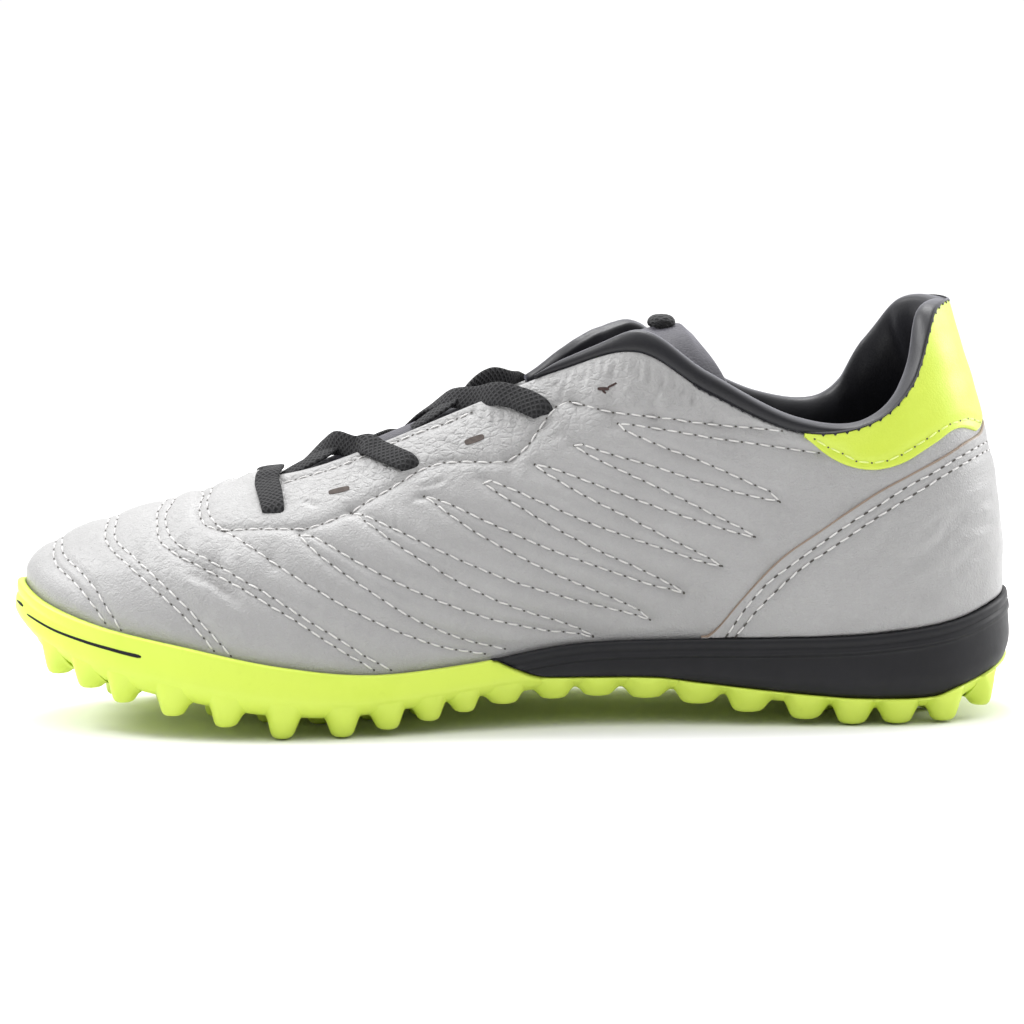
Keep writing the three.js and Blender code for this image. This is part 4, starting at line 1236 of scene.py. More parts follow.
def wrinkle(points):
    """Soft uneven swelling of thin leather, within about 1 either way."""
    x, y, z = points[..., 0], points[..., 1], points[..., 2]
    a = np.sin(0.21 * x + 0.33 * z + 1.7 * np.sin(0.07 * y + 0.05 * x))
    b = np.sin(0.47 * x - 0.29 * z + 1.1 + 1.3 * np.sin(0.11 * z))
    c = np.sin(0.13 * x - 0.61 * z + 2.3 * np.sin(0.05 * x + 0.09 * y))
    return (a + 0.7 * b + 0.6 * c) / 2.3


# Collar

COLLAR_END = 7.333
COLLAR_STEP = 1 / 16
COLLAR_FINE = 5


def closed_smooth(rings, steps):
    """Each ring of points turned into a smooth closed curve with more points."""
    a, b, c, d = (np.roll(rings, k, axis=1) for k in (1, 0, -1, -2))
    parts = [between(a, b, c, d, f) for f in np.arange(steps) / steps]
    return np.stack(parts, axis=2).reshape(rings.shape[0], -1, rings.shape[2])


# How much higher the roll stands than its own size says, on the near and the far side
COLLAR_TRIM = table(
    "q near far",
    (0.0, -0.3, 0.0),
    (1.0, 0.2, 0.2),
    (1.5, 0.1, 0.8),
    (1.9, -0.2, 1.6),
    (2.2, -0.5, 0.6),
    (2.5, -0.8, -0.8),
    (3.0, -1.2, -1.1),
    (4.0, -1.4, -1.3),
    (4.6, -1.5, -1.7),
    (5.1, -1.5, -1.9),
    (5.4, -1.4, -1.0),
    (5.8, -1.2, 0.8),
    (6.2, -1.0, 1.8),
    (6.4, -0.9, 3.0),
    (6.6, -0.7, 4.6),
    (6.85, -0.3, 5.0),
    (7.05, 0.1, 4.0),
    (7.2, 0.3, 2.2),
    (7.333, 0.3, 1.2),
)


def collar_sizes(q):
    """The collar's height outside, its padding and its depth inside."""
    share = {key: open_column(COLLAR_ROWS, "q", key, np.abs(q)) for key in ("band", "pad", "depth")}
    return COLLAR_BAND * share["band"], COLLAR_PAD * share["pad"], COLLAR_DEPTH * share["depth"]


def collar_piece():
    """The padded collar: a roll over the shell's edge and a lining that runs down inside."""
    q = np.arange(-COLLAR_END, COLLAR_END + 1e-6, COLLAR_STEP)
    t = q % TURNS
    band, pad, depth = collar_sizes(q)
    trim = [np.interp(np.abs(q), COLLAR_TRIM["q"], COLLAR_TRIM[key]) for key in ("near", "far")]
    rise = np.where(q > 0, trim[0], trim[1])
    seat = UPPER_WALL + 2 * FIT_GAP
    one = np.ones_like(q)
    puff = 0.35 * np.sin(q * 9.0) * np.sin(q * 2.3 + 1.0)
    route = [
        (-1.5 * FIT_GAP * one, -0.1 * one),
        (-0.5 * band - FIT_GAP - 0.5 * rise, -0.9 * one),
        (-band - FIT_GAP - rise, -0.25 * one),
        (-band - COLLAR_ROLL - rise, 0.45 * pad),
        (-band - rise, 0.85 * pad + 0.3 * puff),
        (0.12 * depth, pad + 0.25 + puff),
        (0.4 * depth, 0.92 * pad + puff),
        (0.7 * depth, 0.7 * pad + 0.6 * puff),
        (depth, seat + 3 * FIT_GAP * one),
        (depth, seat * one),
        (0.25 * depth, seat * one),
        (-1.5 * FIT_GAP * one, seat * one),
    ]
    rings = np.stack([shell_point(t, down, inside) for down, inside in route], axis=1)
    points = closed_smooth(rings, COLLAR_FINE)
    return closed_piece("collar_padding", points, tube_faces(len(q), points.shape[1]))


# The collar's pinked edge: its teeth, its thickness, where it ends and where the patch under it ends
TEETH_PITCH = 3.4
TEETH_DEPTH = 0.85
TEETH_BASE = 0.15
TEETH_WIDTH = 0.2
TEETH_STEP = 1 / 64
TEETH_THICKNESS = 0.4
TEETH_END = 5.2
PATCH_END = 4.0
# How far the heel patch runs up over the collar's edge
PATCH_RISE = table(
    "q rise",
    (0.0, 0.4),
    (0.5, 0.9),
    (1.0, 1.5),
    (2.0, 1.5),
    (3.0, 1.3),
    (3.95, 0.6),
    (4.5, 0.2),
    (5.2, 0.0),
)


def patch_rise(q):
    return np.interp(np.abs(q), PATCH_RISE["q"], PATCH_RISE["rise"])


def teeth_piece():
    """The collar's pinked lower edge over the heel patch."""
    q = np.arange(-TEETH_END, TEETH_END + 1e-6, TEETH_STEP)
    t = q % TURNS
    run = run_along(face.point(t, 1.0))
    saw = np.clip(1 - np.abs((run / TEETH_PITCH) % 1 - 0.5) / TEETH_WIDTH, 0, 1)
    on_patch = np.clip((PATCH_END - np.abs(q)) / 0.3, 0, 1)
    low = TEETH_BASE + TEETH_DEPTH * saw * (0.5 + 0.5 * on_patch)
    rise = patch_rise(q)
    lift = np.maximum(FIT_GAP + (OVERLAY_WALL + 0.25) * on_patch, 0.35)
    route = [
        (-0.45 - rise, -lift + 0.45),
        (-rise, -lift),
        (low - rise, -lift + 0.05),
        (low - rise, -lift + TEETH_THICKNESS),
        (-rise, -lift + TEETH_THICKNESS),
    ]
    rings = np.stack([shell_point(t, down, inside) for down, inside in route], axis=1)
    return closed_piece("collar_teeth", rings, tube_faces(len(q), len(route)), smooth=False)


# Tongue

TONGUE_STEP = 1 / 24
TONGUE_LAP_POINTS = 6
TONGUE_BRIDGE_POINTS = 30
TONGUE_LINES = 9
TONGUE_LINE_HEIGHT = 0.075


def tongue_rows(q):
    """The tongue's outer face at section numbers q, from its inner to its outer edge."""
    value = {key: open_column(TONGUE_ROWS, "q", key, q) for key in TONGUE_ROWS}
    below = UPPER_WALL + FIT_GAP + value["seat"] * COLLAR_PAD
    lap = value["lap"] * TONGUE_LAP
    shares = np.linspace(1, 0, TONGUE_LAP_POINTS)
    inner = [shell_point(q, lap * f, below) for f in shares]
    outer = [shell_point(TURNS - q, lap * f, below) for f in shares[::-1]]
    start = inner[-1]
    end = outer[0]
    bridge = []
    full = np.interp(q, [5.2, 6.5], [0.68, 0.8])
    for f in np.linspace(0, 1, TONGUE_BRIDGE_POINTS)[1:-1]:
        swell = math.sin(math.pi * f)
        rise = np.stack(
            [value["shift"] * swell ** 1.12, 0 * q, value["crown"] * swell ** full], axis=1
        )
        bridge.append(start + (end - start) * f + rise * TONGUE_RISE)
    return np.stack(inner + bridge + outer, axis=1)


def tongue_end(ring, middle, forward, smaller=(30, 60, 82)):
    """Rings that round off an end of the tongue. Each angle says how far round one stands."""
    forward = np.concatenate([forward, forward[::-1]])
    flat = np.concatenate([middle, middle[::-1]])
    caps = []
    for a in np.radians(smaller):
        squeezed = flat + (ring - flat) * math.cos(a)
        caps.append(squeezed + forward * math.sin(a) * TONGUE_THICKNESS * 0.5)
    return caps


def tongue_piece():
    """The padded tongue, with rounded edges all round and soft lines along it."""
    q = np.arange(TONGUE_ROWS["q"][0], TONGUE_ROWS["q"][-1] + 1e-6, TONGUE_STEP)
    outer = tongue_rows(q)
    inward = unit(np.cross(np.gradient(outer, axis=0), np.gradient(outer, axis=1)))
    wide = outer.shape[1]
    edge = np.clip(np.sin(np.linspace(0, np.pi, wide)) ** 0.35, 0.35, 1)[None, :, None]
    middle = outer + inward * TONGUE_THICKNESS / 2
    lines = TONGUE_LINE_HEIGHT * np.sin(np.arange(wide) / (wide - 1) * np.pi * TONGUE_LINES)
    top = middle - inward * (TONGUE_THICKNESS / 2 * edge + lines[None, :, None])
    bottom = middle + inward * TONGUE_THICKNESS / 2 * edge
    rings = np.concatenate([top, bottom[:, ::-1]], axis=1)
    start = tongue_end(rings[0], middle[0], unit(outer[0] - outer[1]))
    end = tongue_end(rings[-1], middle[-1], unit(outer[-1] - outer[-2]))
    stack = np.stack(start[::-1] + list(rings) + end)
    ring = stack.shape[1]
    faces = grid_faces(len(stack), ring, wrap_rows=True)
    faces += cap_faces(ring, 0)
    faces += cap_faces(ring, (len(stack) - 1) * ring, flip=True)
    return closed_piece("tongue_padding", stack, faces)


# The loop of webbing: where it stands in the picture, its size, how it leans and how far its middle
# stands over the tongue. Its ends droop and grow smaller.
KNOB_PIXEL = 661
KNOB_LENGTH = 7.6
KNOB_HEIGHT = 2.0
KNOB_WIDTH = 13.0
KNOB_TILT = 0.3
KNOB_LIFT = 1.2
KNOB_DROOP = 1.2
KNOB_SHRINK = 0.35
KNOB_UNDERSIDE = 0.8
KNOB_WEAVE = 2.2
KNOB_SIDES = 20
KNOB_RINGS = 15


def upright(across, ahead):
    """The direction square to two others that points up."""
    up = unit(np.cross(across, ahead))
    return -up if up[2] < 0 else up


def knob_piece():
    """The small folded loop of webbing sewn onto the top of the tongue."""
    rows = tongue_rows(np.arange(4.8, 6.2, 0.02))
    centre = rows.shape[1] // 2
    middle = rows[:, centre]
    k = int(np.abs(project(middle)[:, 0] - KNOB_PIXEL).argmin())
    ahead = unit(middle[k - 3] - middle[k + 3])
    across = unit(rows[k, centre + 3] - rows[k, centre - 3])
    ahead = unit(ahead - upright(across, ahead) * KNOB_TILT)
    up = upright(across, ahead)
    angles = turn_angles(KNOB_SIDES)
    length = flattened(np.cos(angles), 0.8) * KNOB_LENGTH / 2
    high = np.sin(angles)
    height = np.where(high > 0, high, high * KNOB_UNDERSIDE) * KNOB_HEIGHT
    rings = []
    for f in np.linspace(-1, 1, KNOB_RINGS):
        size = 1 - abs(f) ** 6 * KNOB_SHRINK
        place = middle[k] + up * KNOB_LIFT + across * f * KNOB_WIDTH / 2 - up * KNOB_DROOP * f * f
        rings.append(place + (ahead * length[:, None] + up * height[:, None]) * size)
    run = np.repeat(np.linspace(0, KNOB_WIDTH, KNOB_RINGS)[:, None], KNOB_SIDES, axis=1)
    around = np.repeat((angles * KNOB_WEAVE)[None], KNOB_RINGS, axis=0)
    uvs = np.stack([run, around], axis=-1)
    faces = tube_faces(KNOB_RINGS, KNOB_SIDES)
    return closed_piece("tongue_loop", np.concatenate(rings), faces, uvs=uvs)


# Laces and eyelets

LACE_SIDES = 14
LACE_STEP = 0.7
# How much the outward directions count, beside millimetres of place, where a route is smoothed
OUT_WEIGHT = 8


def throat_place(q, side, down, lift):
    """A place over the throat. side runs from -1 at the inner edge to 1 at the outer one, and down
    moves beyond that edge, down the leather. lift is the height over it. It returns the place
    and the direction away from the shoe."""
    t = q if side < 0 else TURNS - q
    if down > 0:
        u = face.share_at(t, down)
        return leather_point(t, u, lift), -face.normal(t, u)
    rows = tongue_rows(np.array([q - 0.02, q + 0.02]))
    bridge = rows[:, TONGUE_LAP_POINTS - 1:-TONGUE_LAP_POINTS + 1]
    place = (side + 1) / 2 * (bridge.shape[1] - 1)
    k = int(np.clip(math.floor(place), 0, bridge.shape[1] - 2))
    f = place - k
    here = bridge[:, k] * (1 - f) + bridge[:, k + 1] * f
    out = upright(bridge[0, k + 1] - bridge[0, k], here[1] - here[0])
    return here.mean(axis=0) + out * lift, out


# Routes of the laces: section number, side, down, lift, twist in degrees and width as a
# share of the lace's. The bar's outer half mirrors its inner one.
BAR_HALF = [
    (9.90, -1, 25.6, -1.8, 0, 0.85),
    (9.93, -1, 24.4, 0.3, 0, 0.9),
    (10.08, -1, 20.5, 0.9, 0, 0.95),
    (10.38, -1, 14.2, 1.0, 0, 1.0),
    (10.83, -1, 7.2, 1.0, 0, 1.0),
    (11.25, -1, 1.8, 1.3, 0, 1.0),
    (11.25, -0.3, 0, 2.0, 0, 0.8),
]
LACE_ROUTES = {
    "lace_bar": BAR_HALF + [(q, -side, *rest) for q, side, *rest in BAR_HALF[::-1]],
    "lace_cross_1_inner": [
        (11.05, -0.7, 0, 0.1, 0, 0.7),
        (10.8, -0.65, 0, 0.9, 0, 0.75),
        (10.45, -0.55, 0, 1.6, 0, 0.8),
        (10.1, -0.4, 0, 2.0, 0, 0.9),
        (9.7, 0.05, 0, 1.8, 0, 1.0),
        (9.35, 0.6, 0, 1.0, 0, 1.0),
        (9.0, 1, 1.5, 1.0, 0, 1.0),
        (8.6, 1, 10.0, 1.0, 0, 1.0),
        (8.45, 1, 16.0, 0.6, 0, 0.85),
        (8.4, 1, 18.2, -1.6, 0, 0.6),
    ],
    "lace_cross_1_outer": [
        (10.85, 0.75, 0, 0.2, 0, 0.7),
        (10.45, 0.5, 0, 1.6, -20, 0.75),
        (10.0, 0.1, 0, 3.2, -45, 0.85),
        (9.72, -0.35, 0, 3.5, -72, 1.0),
        (9.48, -0.8, 0, 2.4, -50, 1.0),
        (9.27, -1, 0.6, 1.8, -15, 1.0),
        (9.03, -1, 5.0, 1.3, 0, 1.0),
        (8.68, -1, 12.0, 1.0, 0, 1.0),
        (8.46, -1, 16.3, 0.7, 0, 0.9),
        (8.38, -1, 18.8, -1.7, 0, 0.7),
    ],
    "lace_cross_2_inner": [
        (8.72, -0.65, 0, 0.1, 0, 0.6),
        (8.43, -0.6, 0, 1.6, 0, 0.75),
        (8.2, -0.45, 0, 2.0, 10, 0.8),
        (7.98, -0.1, 0, 3.2, 40, 0.9),
        (7.75, 0.25, 0, 4.3, 65, 1.0),
        (7.55, 0.65, 0, 3.2, 55, 1.0),
        (7.4, 1, 1.5, 1.8, 20, 1.0),
        (7.2, 1, 6.5, 1.1, 0, 1.0),
        (7.08, 1, 10.8, 0.6, 0, 0.85),
        (7.05, 1, 12.8, -1.6, 0, 0.6),
    ],
    "lace_cross_2_outer": [
        (8.78, 0.7, 0, 0.2, 0, 0.6),
        (8.5, 0.2, 0, 1.8, -10, 0.8),
        (8.22, -0.35, 0, 3.0, -35, 0.9),
        (7.95, -0.8, 0, 2.3, -45, 1.0),
        (7.68, -1, 1.2, 1.8, -15, 1.0),
        (7.41, -1, 5.6, 1.3, 0, 1.05),
        (7.2, -1, 9.6, 1.0, 0, 1.05),
        (7.07, -1, 12.2, 0.5, 0, 0.95),
        (7.02, -1, 13.8, -1.7, 0, 0.75),
    ],
}


def lace_part(route):
    """One strand of flat woven lace, as points, faces and weave coordinates."""
    places = [throat_place(*row[:4]) for row in route]
    points = np.array([p for p, _ in places])
    outs = np.array([out for _, out in places])
    extra = np.array([row[4:] for row in route])
    joined = smooth_path(np.concatenate([points, outs * OUT_WEIGHT, extra], axis=1), LACE_STEP)
    points = joined[:, :3]
    twist = np.radians(joined[:, 6])[:, None]
    width = joined[:, 7:8] * LACE_WIDTH
    forward = unit(np.gradient(points, axis=0))
    side = unit(np.cross(forward, unit(joined[:, 3:6])))
    up = np.cross(side, forward)
    side, up = side * np.cos(twist) + up * np.sin(twist), up * np.cos(twist) - side * np.sin(twist)
    angles = turn_angles(LACE_SIDES)
    across = flattened(np.cos(angles), 0.7)[None, :] * width / 2
    rise = flattened(np.sin(angles), 0.8)[None, :, None] * LACE_THICKNESS / 2
    rings = points[:, None] + side[:, None] * across[:, :, None] + up[:, None] * rise
    run = np.repeat(run_along(points)[:, None], LACE_SIDES, axis=1)
    uvs = np.stack([run, across], axis=-1).reshape(-1, 2)
    return rings, tube_faces(len(points), LACE_SIDES), uvs


def lace_piece(name, routes):
    """A bar or a crossing from its strands."""
    return joined_piece(name, [lace_part(LACE_ROUTES[route]) for route in routes])


# The mouths of the eyelets: both ends in pixels and the width in millimetres. Laces hide three of
# them, and the last has torn open at its lower end.
SLITS = [
    ((264, 513), (278, 510), 1.6),
    ((329, 494), (350, 489), 2.0),
    ((400, 470), (412, 465), 1.5),
    ((465, 444), (484.5, 437), 2.1),
    ((532, 417), (544, 411), 1.5),
]
TEAR = [
    ((606, 388.5), (619, 382), 0.6),
    ((598, 389.5), (609, 389), 1.0),
    ((602.5, 390.5), (606, 393.5), 0.6),
]
SLIT_SIDES = 20
SLIT_LIFT = 0.12
SLIT_THICKNESS = 0.6


def slit_part(start, end, width, on_outer_side):
    """One slit with rounded ends, lying on the leather."""
    path = face.locate([start, end], *EYELET_RANGE)
    if on_outer_side:
        path = mirrored(path)
    ends = leather_point(path[:, 0], path[:, 1], SLIT_LIFT)
    t, u = path.mean(axis=0)
    out = -face.normal(t, u)
    run = ends[1] - ends[0]
    side = unit(np.cross(out, unit(run)))
    angles = turn_angles(SLIT_SIDES)
    along = flattened(np.cos(angles), 0.75)[:, None] * run / 2
    across = flattened(np.sin(angles), 0.5)[:, None] * side * width / 2
    ring = leather_point(t, u, SLIT_LIFT) + along + across
    rings = np.concatenate([ring, ring - out * SLIT_THICKNESS])
    return rings, tube_faces(2, SLIT_SIDES)


def slit_piece(name, slits):
    """Slits on both sides of the shoe."""
    parts = [slit_part(*slit, on_outer_side) for slit in slits for on_outer_side in (False, True)]
    return joined_piece(name, parts, smooth=False)


# Sole

SOLE_STEP = 1 / 16
WEDGE_START = -8.4
FAR_ABOVE = 999
# How far the sole's side lies inside its widest line, as a share of SOLE_BEVEL, against the share
# of the height between underside and rim.
SIDE_PROFILE = table(
    "share inset",
    (0.0, 1.0),
    (0.03, 0.72),
    (0.11, 0.38),
    (0.24, 0.12),
    (0.4, 0.0),
    (0.76, 0.08),
    (1.0, 0.13),
)
# The same for the bevelled band along the top of the midsole: depth below the rim and inset in
# millimetres.
MIDSOLE_BAND = table(
    "down inset",
    (0.0, 1.5),
    (0.35, 0.95),
    (0.9, 0.75),
    (2.2, 0.55),
    (2.7, 0.95),
    (3.1, 0.95),
    (3.7, 0.3),
    (5.0, 0.1),
)
# Rings of a stud from its root to its tip: share of the way down, and radius
STUD_RINGS = table(
    "share radius",
    (-0.05, 1.62),
    (0.02, 1.52),
    (0.1, 1.42),
    (0.25, 1.3),
    (0.5, 1.15),
    (0.75, 1.0),
    (0.9, 0.84),
    (0.98, 0.6),
    (1.0, 0.3),
)
# The sole's underside climbs to its side in a curve: share of SOLE_BEVEL from the edge, and share
# of the height between underside and rim.
EDGE_CLIMB = table(
    "inset share",
    (0.0, 0.4),
    (0.12, 0.24),
    (0.38, 0.11),
    (0.72, 0.03),
    (1.0, 0.0),
)
STUD_RADIUS = 3.3
STUD_ROUND = 24
# How far an edge stud stands out towards the edge, and the share of it that is lost at its tip
STUD_SHIFT = 2.6
STUD_LEAN = 0.45
# The distance between rows of inner studs, as a share of FIELD_PITCH
FIELD_ROW_SHARE = 0.85
# The least distance between a stud's root and the sole's widest line
EDGE_KEEP = 0.35
# How far the edge studs stand along the shoe from their places in EDGE_STUDS, as in the photograph:
# those before TOE_STUDS_END, a share of HALF_LENGTH, move by TOE_STUD_MOVE and the others by
# EDGE_STUD_MOVE.
TOE_STUDS_END = -0.88
TOE_STUD_MOVE = 1.8
EDGE_STUD_MOVE = -1.6
STUD_BELOW_WEDGE = 0.5
BED_ACROSS = 8
MIDSOLE_ROWS = 14
# Where the rubber's bed starts to follow the wedge
FLOOR_WEDGE = -10


def sole_levels(ts):
    """Under side, rim and top of the rubber at each section number."""
    wide = outline_point(ts)
    rim = rim_height(ts)
    under = under_height(wide[:, 0], wide[:, 1])
    wedge = wedge_height(wide[:, 0])
    wedge = np.where(wide[:, 0] < WEDGE_LINE["x"][0] * HALF_LENGTH, FAR_ABOVE, wedge)
    return under, rim, np.minimum(rim, wedge)


def side_point(ts, height):
    """Points on the sole's side at a height."""
    under, rim, _ = sole_levels(ts)
    share = np.clip((height - under) / (rim - under), 0, 1)
    inset = SOLE_BEVEL * open_column(SIDE_PROFILE, "share", "inset", share)
    return raised(inset_point(ts, inset), height)


def across_rows(ring, height, steps):
    """Rows of points between opposite sides of a ring round the shoe."""
    half = len(ring) // 2
    left = ring[: half + 1]
    right = np.concatenate([ring[:1], ring[:half - 1:-1]])
    f = np.linspace(0, 1, steps + 1)[None, 1:-1, None]
    inner = left[:, None] + (right - left)[:, None] * f
    inner[..., 2] = height(inner[..., 0], inner[..., 1])
    return inner


def cap_between(ring_first, count, inner_first, inner, flip):
    """Faces between a ring and the rows of points inside it."""
    half = count // 2
    steps = inner.shape[1]

    def line(p):
        own = [inner_first + p * steps + k for k in range(steps)]
        if p in (0, half):
            return [ring_first + p] * (steps + 2)
        return [ring_first + p] + own + [ring_first + (count - p) % count]

    faces = []
    for p in range(half):
        a = line(p)
        b = line(p + 1)
        for k in range(steps + 1):
            quad = [a[k], a[k + 1], b[k + 1], b[k]]
            quad = list(dict.fromkeys(quad))
            if len(quad) > 2:
                faces.append(quad[::-1] if flip else quad)
    return faces


def loop_part(rings, low_height, high_height, across):
    """A body from rings round the shoe, closed below and above by rows across it."""
    count = len(rings[0])
    faces = []
    for a in range(0, (len(rings) - 1) * count, count):
        b = a + count
        faces += [[a + j, a + (j + 1) % count, b + (j + 1) % count, b + j] for j in range(count)]
    low = across_rows(rings[0], low_height, across)
    high = across_rows(rings[-1], high_height, across)
    points = [np.concatenate(rings), low.reshape(-1, 3), high.reshape(-1, 3)]
    low_first = len(points[0])
    faces += cap_between(0, count, low_first, low, True)
    high_first = low_first + len(points[1])
    faces += cap_between(low_first - count, count, high_first, high, False)
    points = np.concatenate(points)
    used = np.zeros(len(points), bool)
    used[np.unique(np.concatenate([np.array(f) for f in faces]))] = True
    renumber = np.cumsum(used) - 1
    return points[used], [[int(renumber[k]) for k in f] for f in faces]


# Rings of the rubber's side, as shares of its height, close together where the bevel turns
RUBBER_LEVELS = np.concatenate([[0, 0.015, 0.04, 0.08, 0.13, 0.19], np.linspace(0.26, 1, 20)])
# The rounded upper edge of the rubber: inset from the sole's widest line and depth below the rim
RUBBER_EDGE = [
    (0.72, 0.6), (0.95, 0.22), (1.4, 0.04), (2.0, 0.0), (RIM_INNER - 0.3, 0.1), (RIM_INNER, 0.5),
]
RUBBER_EDGE_HEIGHT = 1.1
# The shallow groove under the rim of the toe bumper: its depth in the rubber, how far below the rim
# it runs and its width, and the rim's height where it starts and the rise over which it deepens.
GROOVE_DEPTH = 0.45
GROOVE_BELOW_RIM = 3.4
GROOVE_SPREAD = 0.5
GROOVE_RIM = 30
GROOVE_RISE = 6


def outsole_rings(ts):
    """Rings of the rubber cup, from its underside over its rim to its bed."""
    under, rim, top = sole_levels(ts)
    toe = np.clip((rim - GROOVE_RIM) / GROOVE_RISE, 0, 1) * (top >= rim)
    inward = inward_normal(ts)
    rings = []
    for share in RUBBER_LEVELS:
        ring = side_point(ts, under + (top - RUBBER_EDGE_HEIGHT - under) * share)
        groove = toe * np.exp(-((rim - GROOVE_BELOW_RIM - ring[:, 2]) ** 2) / GROOVE_SPREAD)
        ring[:, :2] += inward * (groove * GROOVE_DEPTH)[:, None]
        rings.append(ring)
    rings += [raised(inset_point(ts, inset), top - down) for inset, down in RUBBER_EDGE]
    flat = inset_point(ts, RIM_INNER)
    rings.append(raised(flat, np.minimum(bed_height(flat[:, 0]), top - 0.5)))
    return rings


EDGE_TURNS = np.arange(0, TURNS, SOLE_STEP)
EDGE_SPOTS = outline_point(EDGE_TURNS)
EDGE_INWARD = inward_normal(EDGE_TURNS)
EDGE_RIMS = rim_height(EDGE_TURNS)


def section_at(x, inset, first, last):
    """The section number between two others where a line inside the outline reaches x."""
    low, high = first, last
    rising = inset_point(last, inset)[0] > inset_point(first, inset)[0]
    for _ in range(30):
        middle = (low + high) / 2
        if (inset_point(middle, inset)[0] < x) == rising:
            low = middle
        else:
            high = middle
    return (low + high) / 2


def sole_underside(x, y):
    """Height of the rubber's lower face, and each place moved inside the outline."""
    spots = np.stack([x, y], axis=-1)
    gaps = np.linalg.norm(spots[:, None] - EDGE_SPOTS[None], axis=-1)
    near = gaps.argmin(axis=1)
    inward = EDGE_INWARD[near]
    depth = ((spots - EDGE_SPOTS[near]) * inward).sum(axis=1)
    short = np.maximum(0, EDGE_KEEP - depth)
    spots = spots + inward * short[:, None]
    depth = np.maximum(depth, EDGE_KEEP)
    under = under_height(spots[:, 0], spots[:, 1])
    climb = np.interp(depth / SOLE_BEVEL, EDGE_CLIMB["inset"], EDGE_CLIMB["share"])
    height = under + (EDGE_RIMS[near] - under) * climb
    lid = np.where(spots[:, 0] > WEDGE_START, wedge_height(spots[:, 0]) - STUD_BELOW_WEDGE, FAR_ABOVE)
    return np.maximum(np.minimum(height, lid), under), spots


def stud_part(x, y, stretch, drop, turn, outward):
    """One rounded rubber stud that flows out of the sole. outward is the way to the nearest edge
    for a stud that stands there."""
    under = float(under_height(x, y))
    slope = (float(under_height(x + 2, y)) - under) / 2
    tip = max(0.0, under - STUD_LENGTH * drop)
    angles = turn_angles(STUD_ROUND)
    c, s = math.cos(turn), math.sin(turn)
    rings = []
    for share, radius in zip(STUD_RINGS["share"], STUD_RINGS["radius"]):
        r = STUD_RADIUS * radius
        flat = np.stack([np.cos(angles) * r * stretch, np.sin(angles) * r], axis=1)
        flat = flat @ np.array([[c, s], [-s, c]]) + np.array([x, y])
        flat += outward * (STUD_SHIFT * (1 - STUD_LEAN * share))
        flat[:, 0] += slope * share * (under - tip)
        surface, flat = sole_underside(flat[:, 0], flat[:, 1])
        rings.append(raised(flat, surface + (tip - surface) * share))
    points = np.concatenate(rings + [rings[-1].mean(axis=0)[None]])
    faces = grid_faces(len(rings), STUD_ROUND, wrap_rows=True)
    faces.append(list(range(STUD_ROUND))[::-1])
    last = (len(rings) - 1) * STUD_ROUND
    faces += [[last + k, last + (k + 1) % STUD_ROUND, len(points) - 1] for k in range(STUD_ROUND)]
    return points, faces


HALVES = ((0, TOE), (TOE, TURNS))


def edge_stud_parts():
    """The studs along the sole's edge, on both sides."""
    parts = []
    for first, last in HALVES:
        for x, stretch, drop in zip(*EDGE_STUDS.values()):
            move = EDGE_STUD_MOVE if x > TOE_STUDS_END else TOE_STUD_MOVE
            t = section_at(x * HALF_LENGTH + move, EDGE_STUD_INSET, first, last)
            inward = inward_normal(t)
            place = inset_point(t, EDGE_STUD_INSET)
            turn = math.atan2(-inward[0], inward[1])
            parts.append(stud_part(place[0], place[1], stretch, drop, turn, -inward))
    return parts


def field_stud_parts():
    """The studs inside the edge, in staggered rows across the sole."""
    parts = []
    for first, last, drop in zip(*STUD_FIELDS.values()):
        rows = round((last - first) * HALF_LENGTH / (FIELD_PITCH * FIELD_ROW_SHARE))
        for i, x in enumerate(np.linspace(first * HALF_LENGTH, last * HALF_LENGTH, rows + 1)):
            sections = [section_at(x, FIELD_MARGIN, a, b) for a, b in HALVES]
            inner, outer = [float(inset_point(t, FIELD_MARGIN)[1]) for t in sections]
            steps = max(1, int(abs(outer - inner) // FIELD_PITCH) - i % 2)
            for y in np.linspace(inner, outer, steps + 2)[1:-1]:
                parts.append(stud_part(x, y, 1.0, drop, 0.0, np.zeros(2)))
    return parts


def outsole_piece():
    """Rubber cup with its studs."""
    ts = np.arange(0, TURNS, SOLE_STEP)

    def floor(x, _):
        return np.minimum(bed_height(x), np.where(x < FLOOR_WEDGE, FAR_ABOVE, wedge_height(x)))

    body = loop_part(outsole_rings(ts), under_height, floor, BED_ACROSS * 2)
    return joined_piece("outsole_rubber", [body] + edge_stud_parts() + field_stud_parts())


def midsole_side(ts):
    """Rows of points up one side of the wedge and in over its top, at each section."""
    _, rim, _ = sole_levels(ts)
    low = np.minimum(wedge_height(outline_point(ts)[:, 0]) + FIT_GAP, rim - 0.05)
    band = rim - MIDSOLE_BAND["down"][-1]
    rings = []
    for share in np.linspace(0, 1, MIDSOLE_ROWS):
        rings.append(side_point(ts, np.where(band > low, low + (band - low) * share, low)))
    for down, inset in zip(MIDSOLE_BAND["down"][::-1], MIDSOLE_BAND["inset"][::-1]):
        rings.append(raised(inset_point(ts, inset), np.maximum(rim - down, low)))
    flat = inset_point(ts, RIM_INNER)
    rings.append(raised(flat, rim - 0.05))
    rings.append(raised(flat, np.maximum(np.minimum(bed_height(flat[:, 0]), rim - 0.1), low)))
    return np.stack(rings, axis=1)


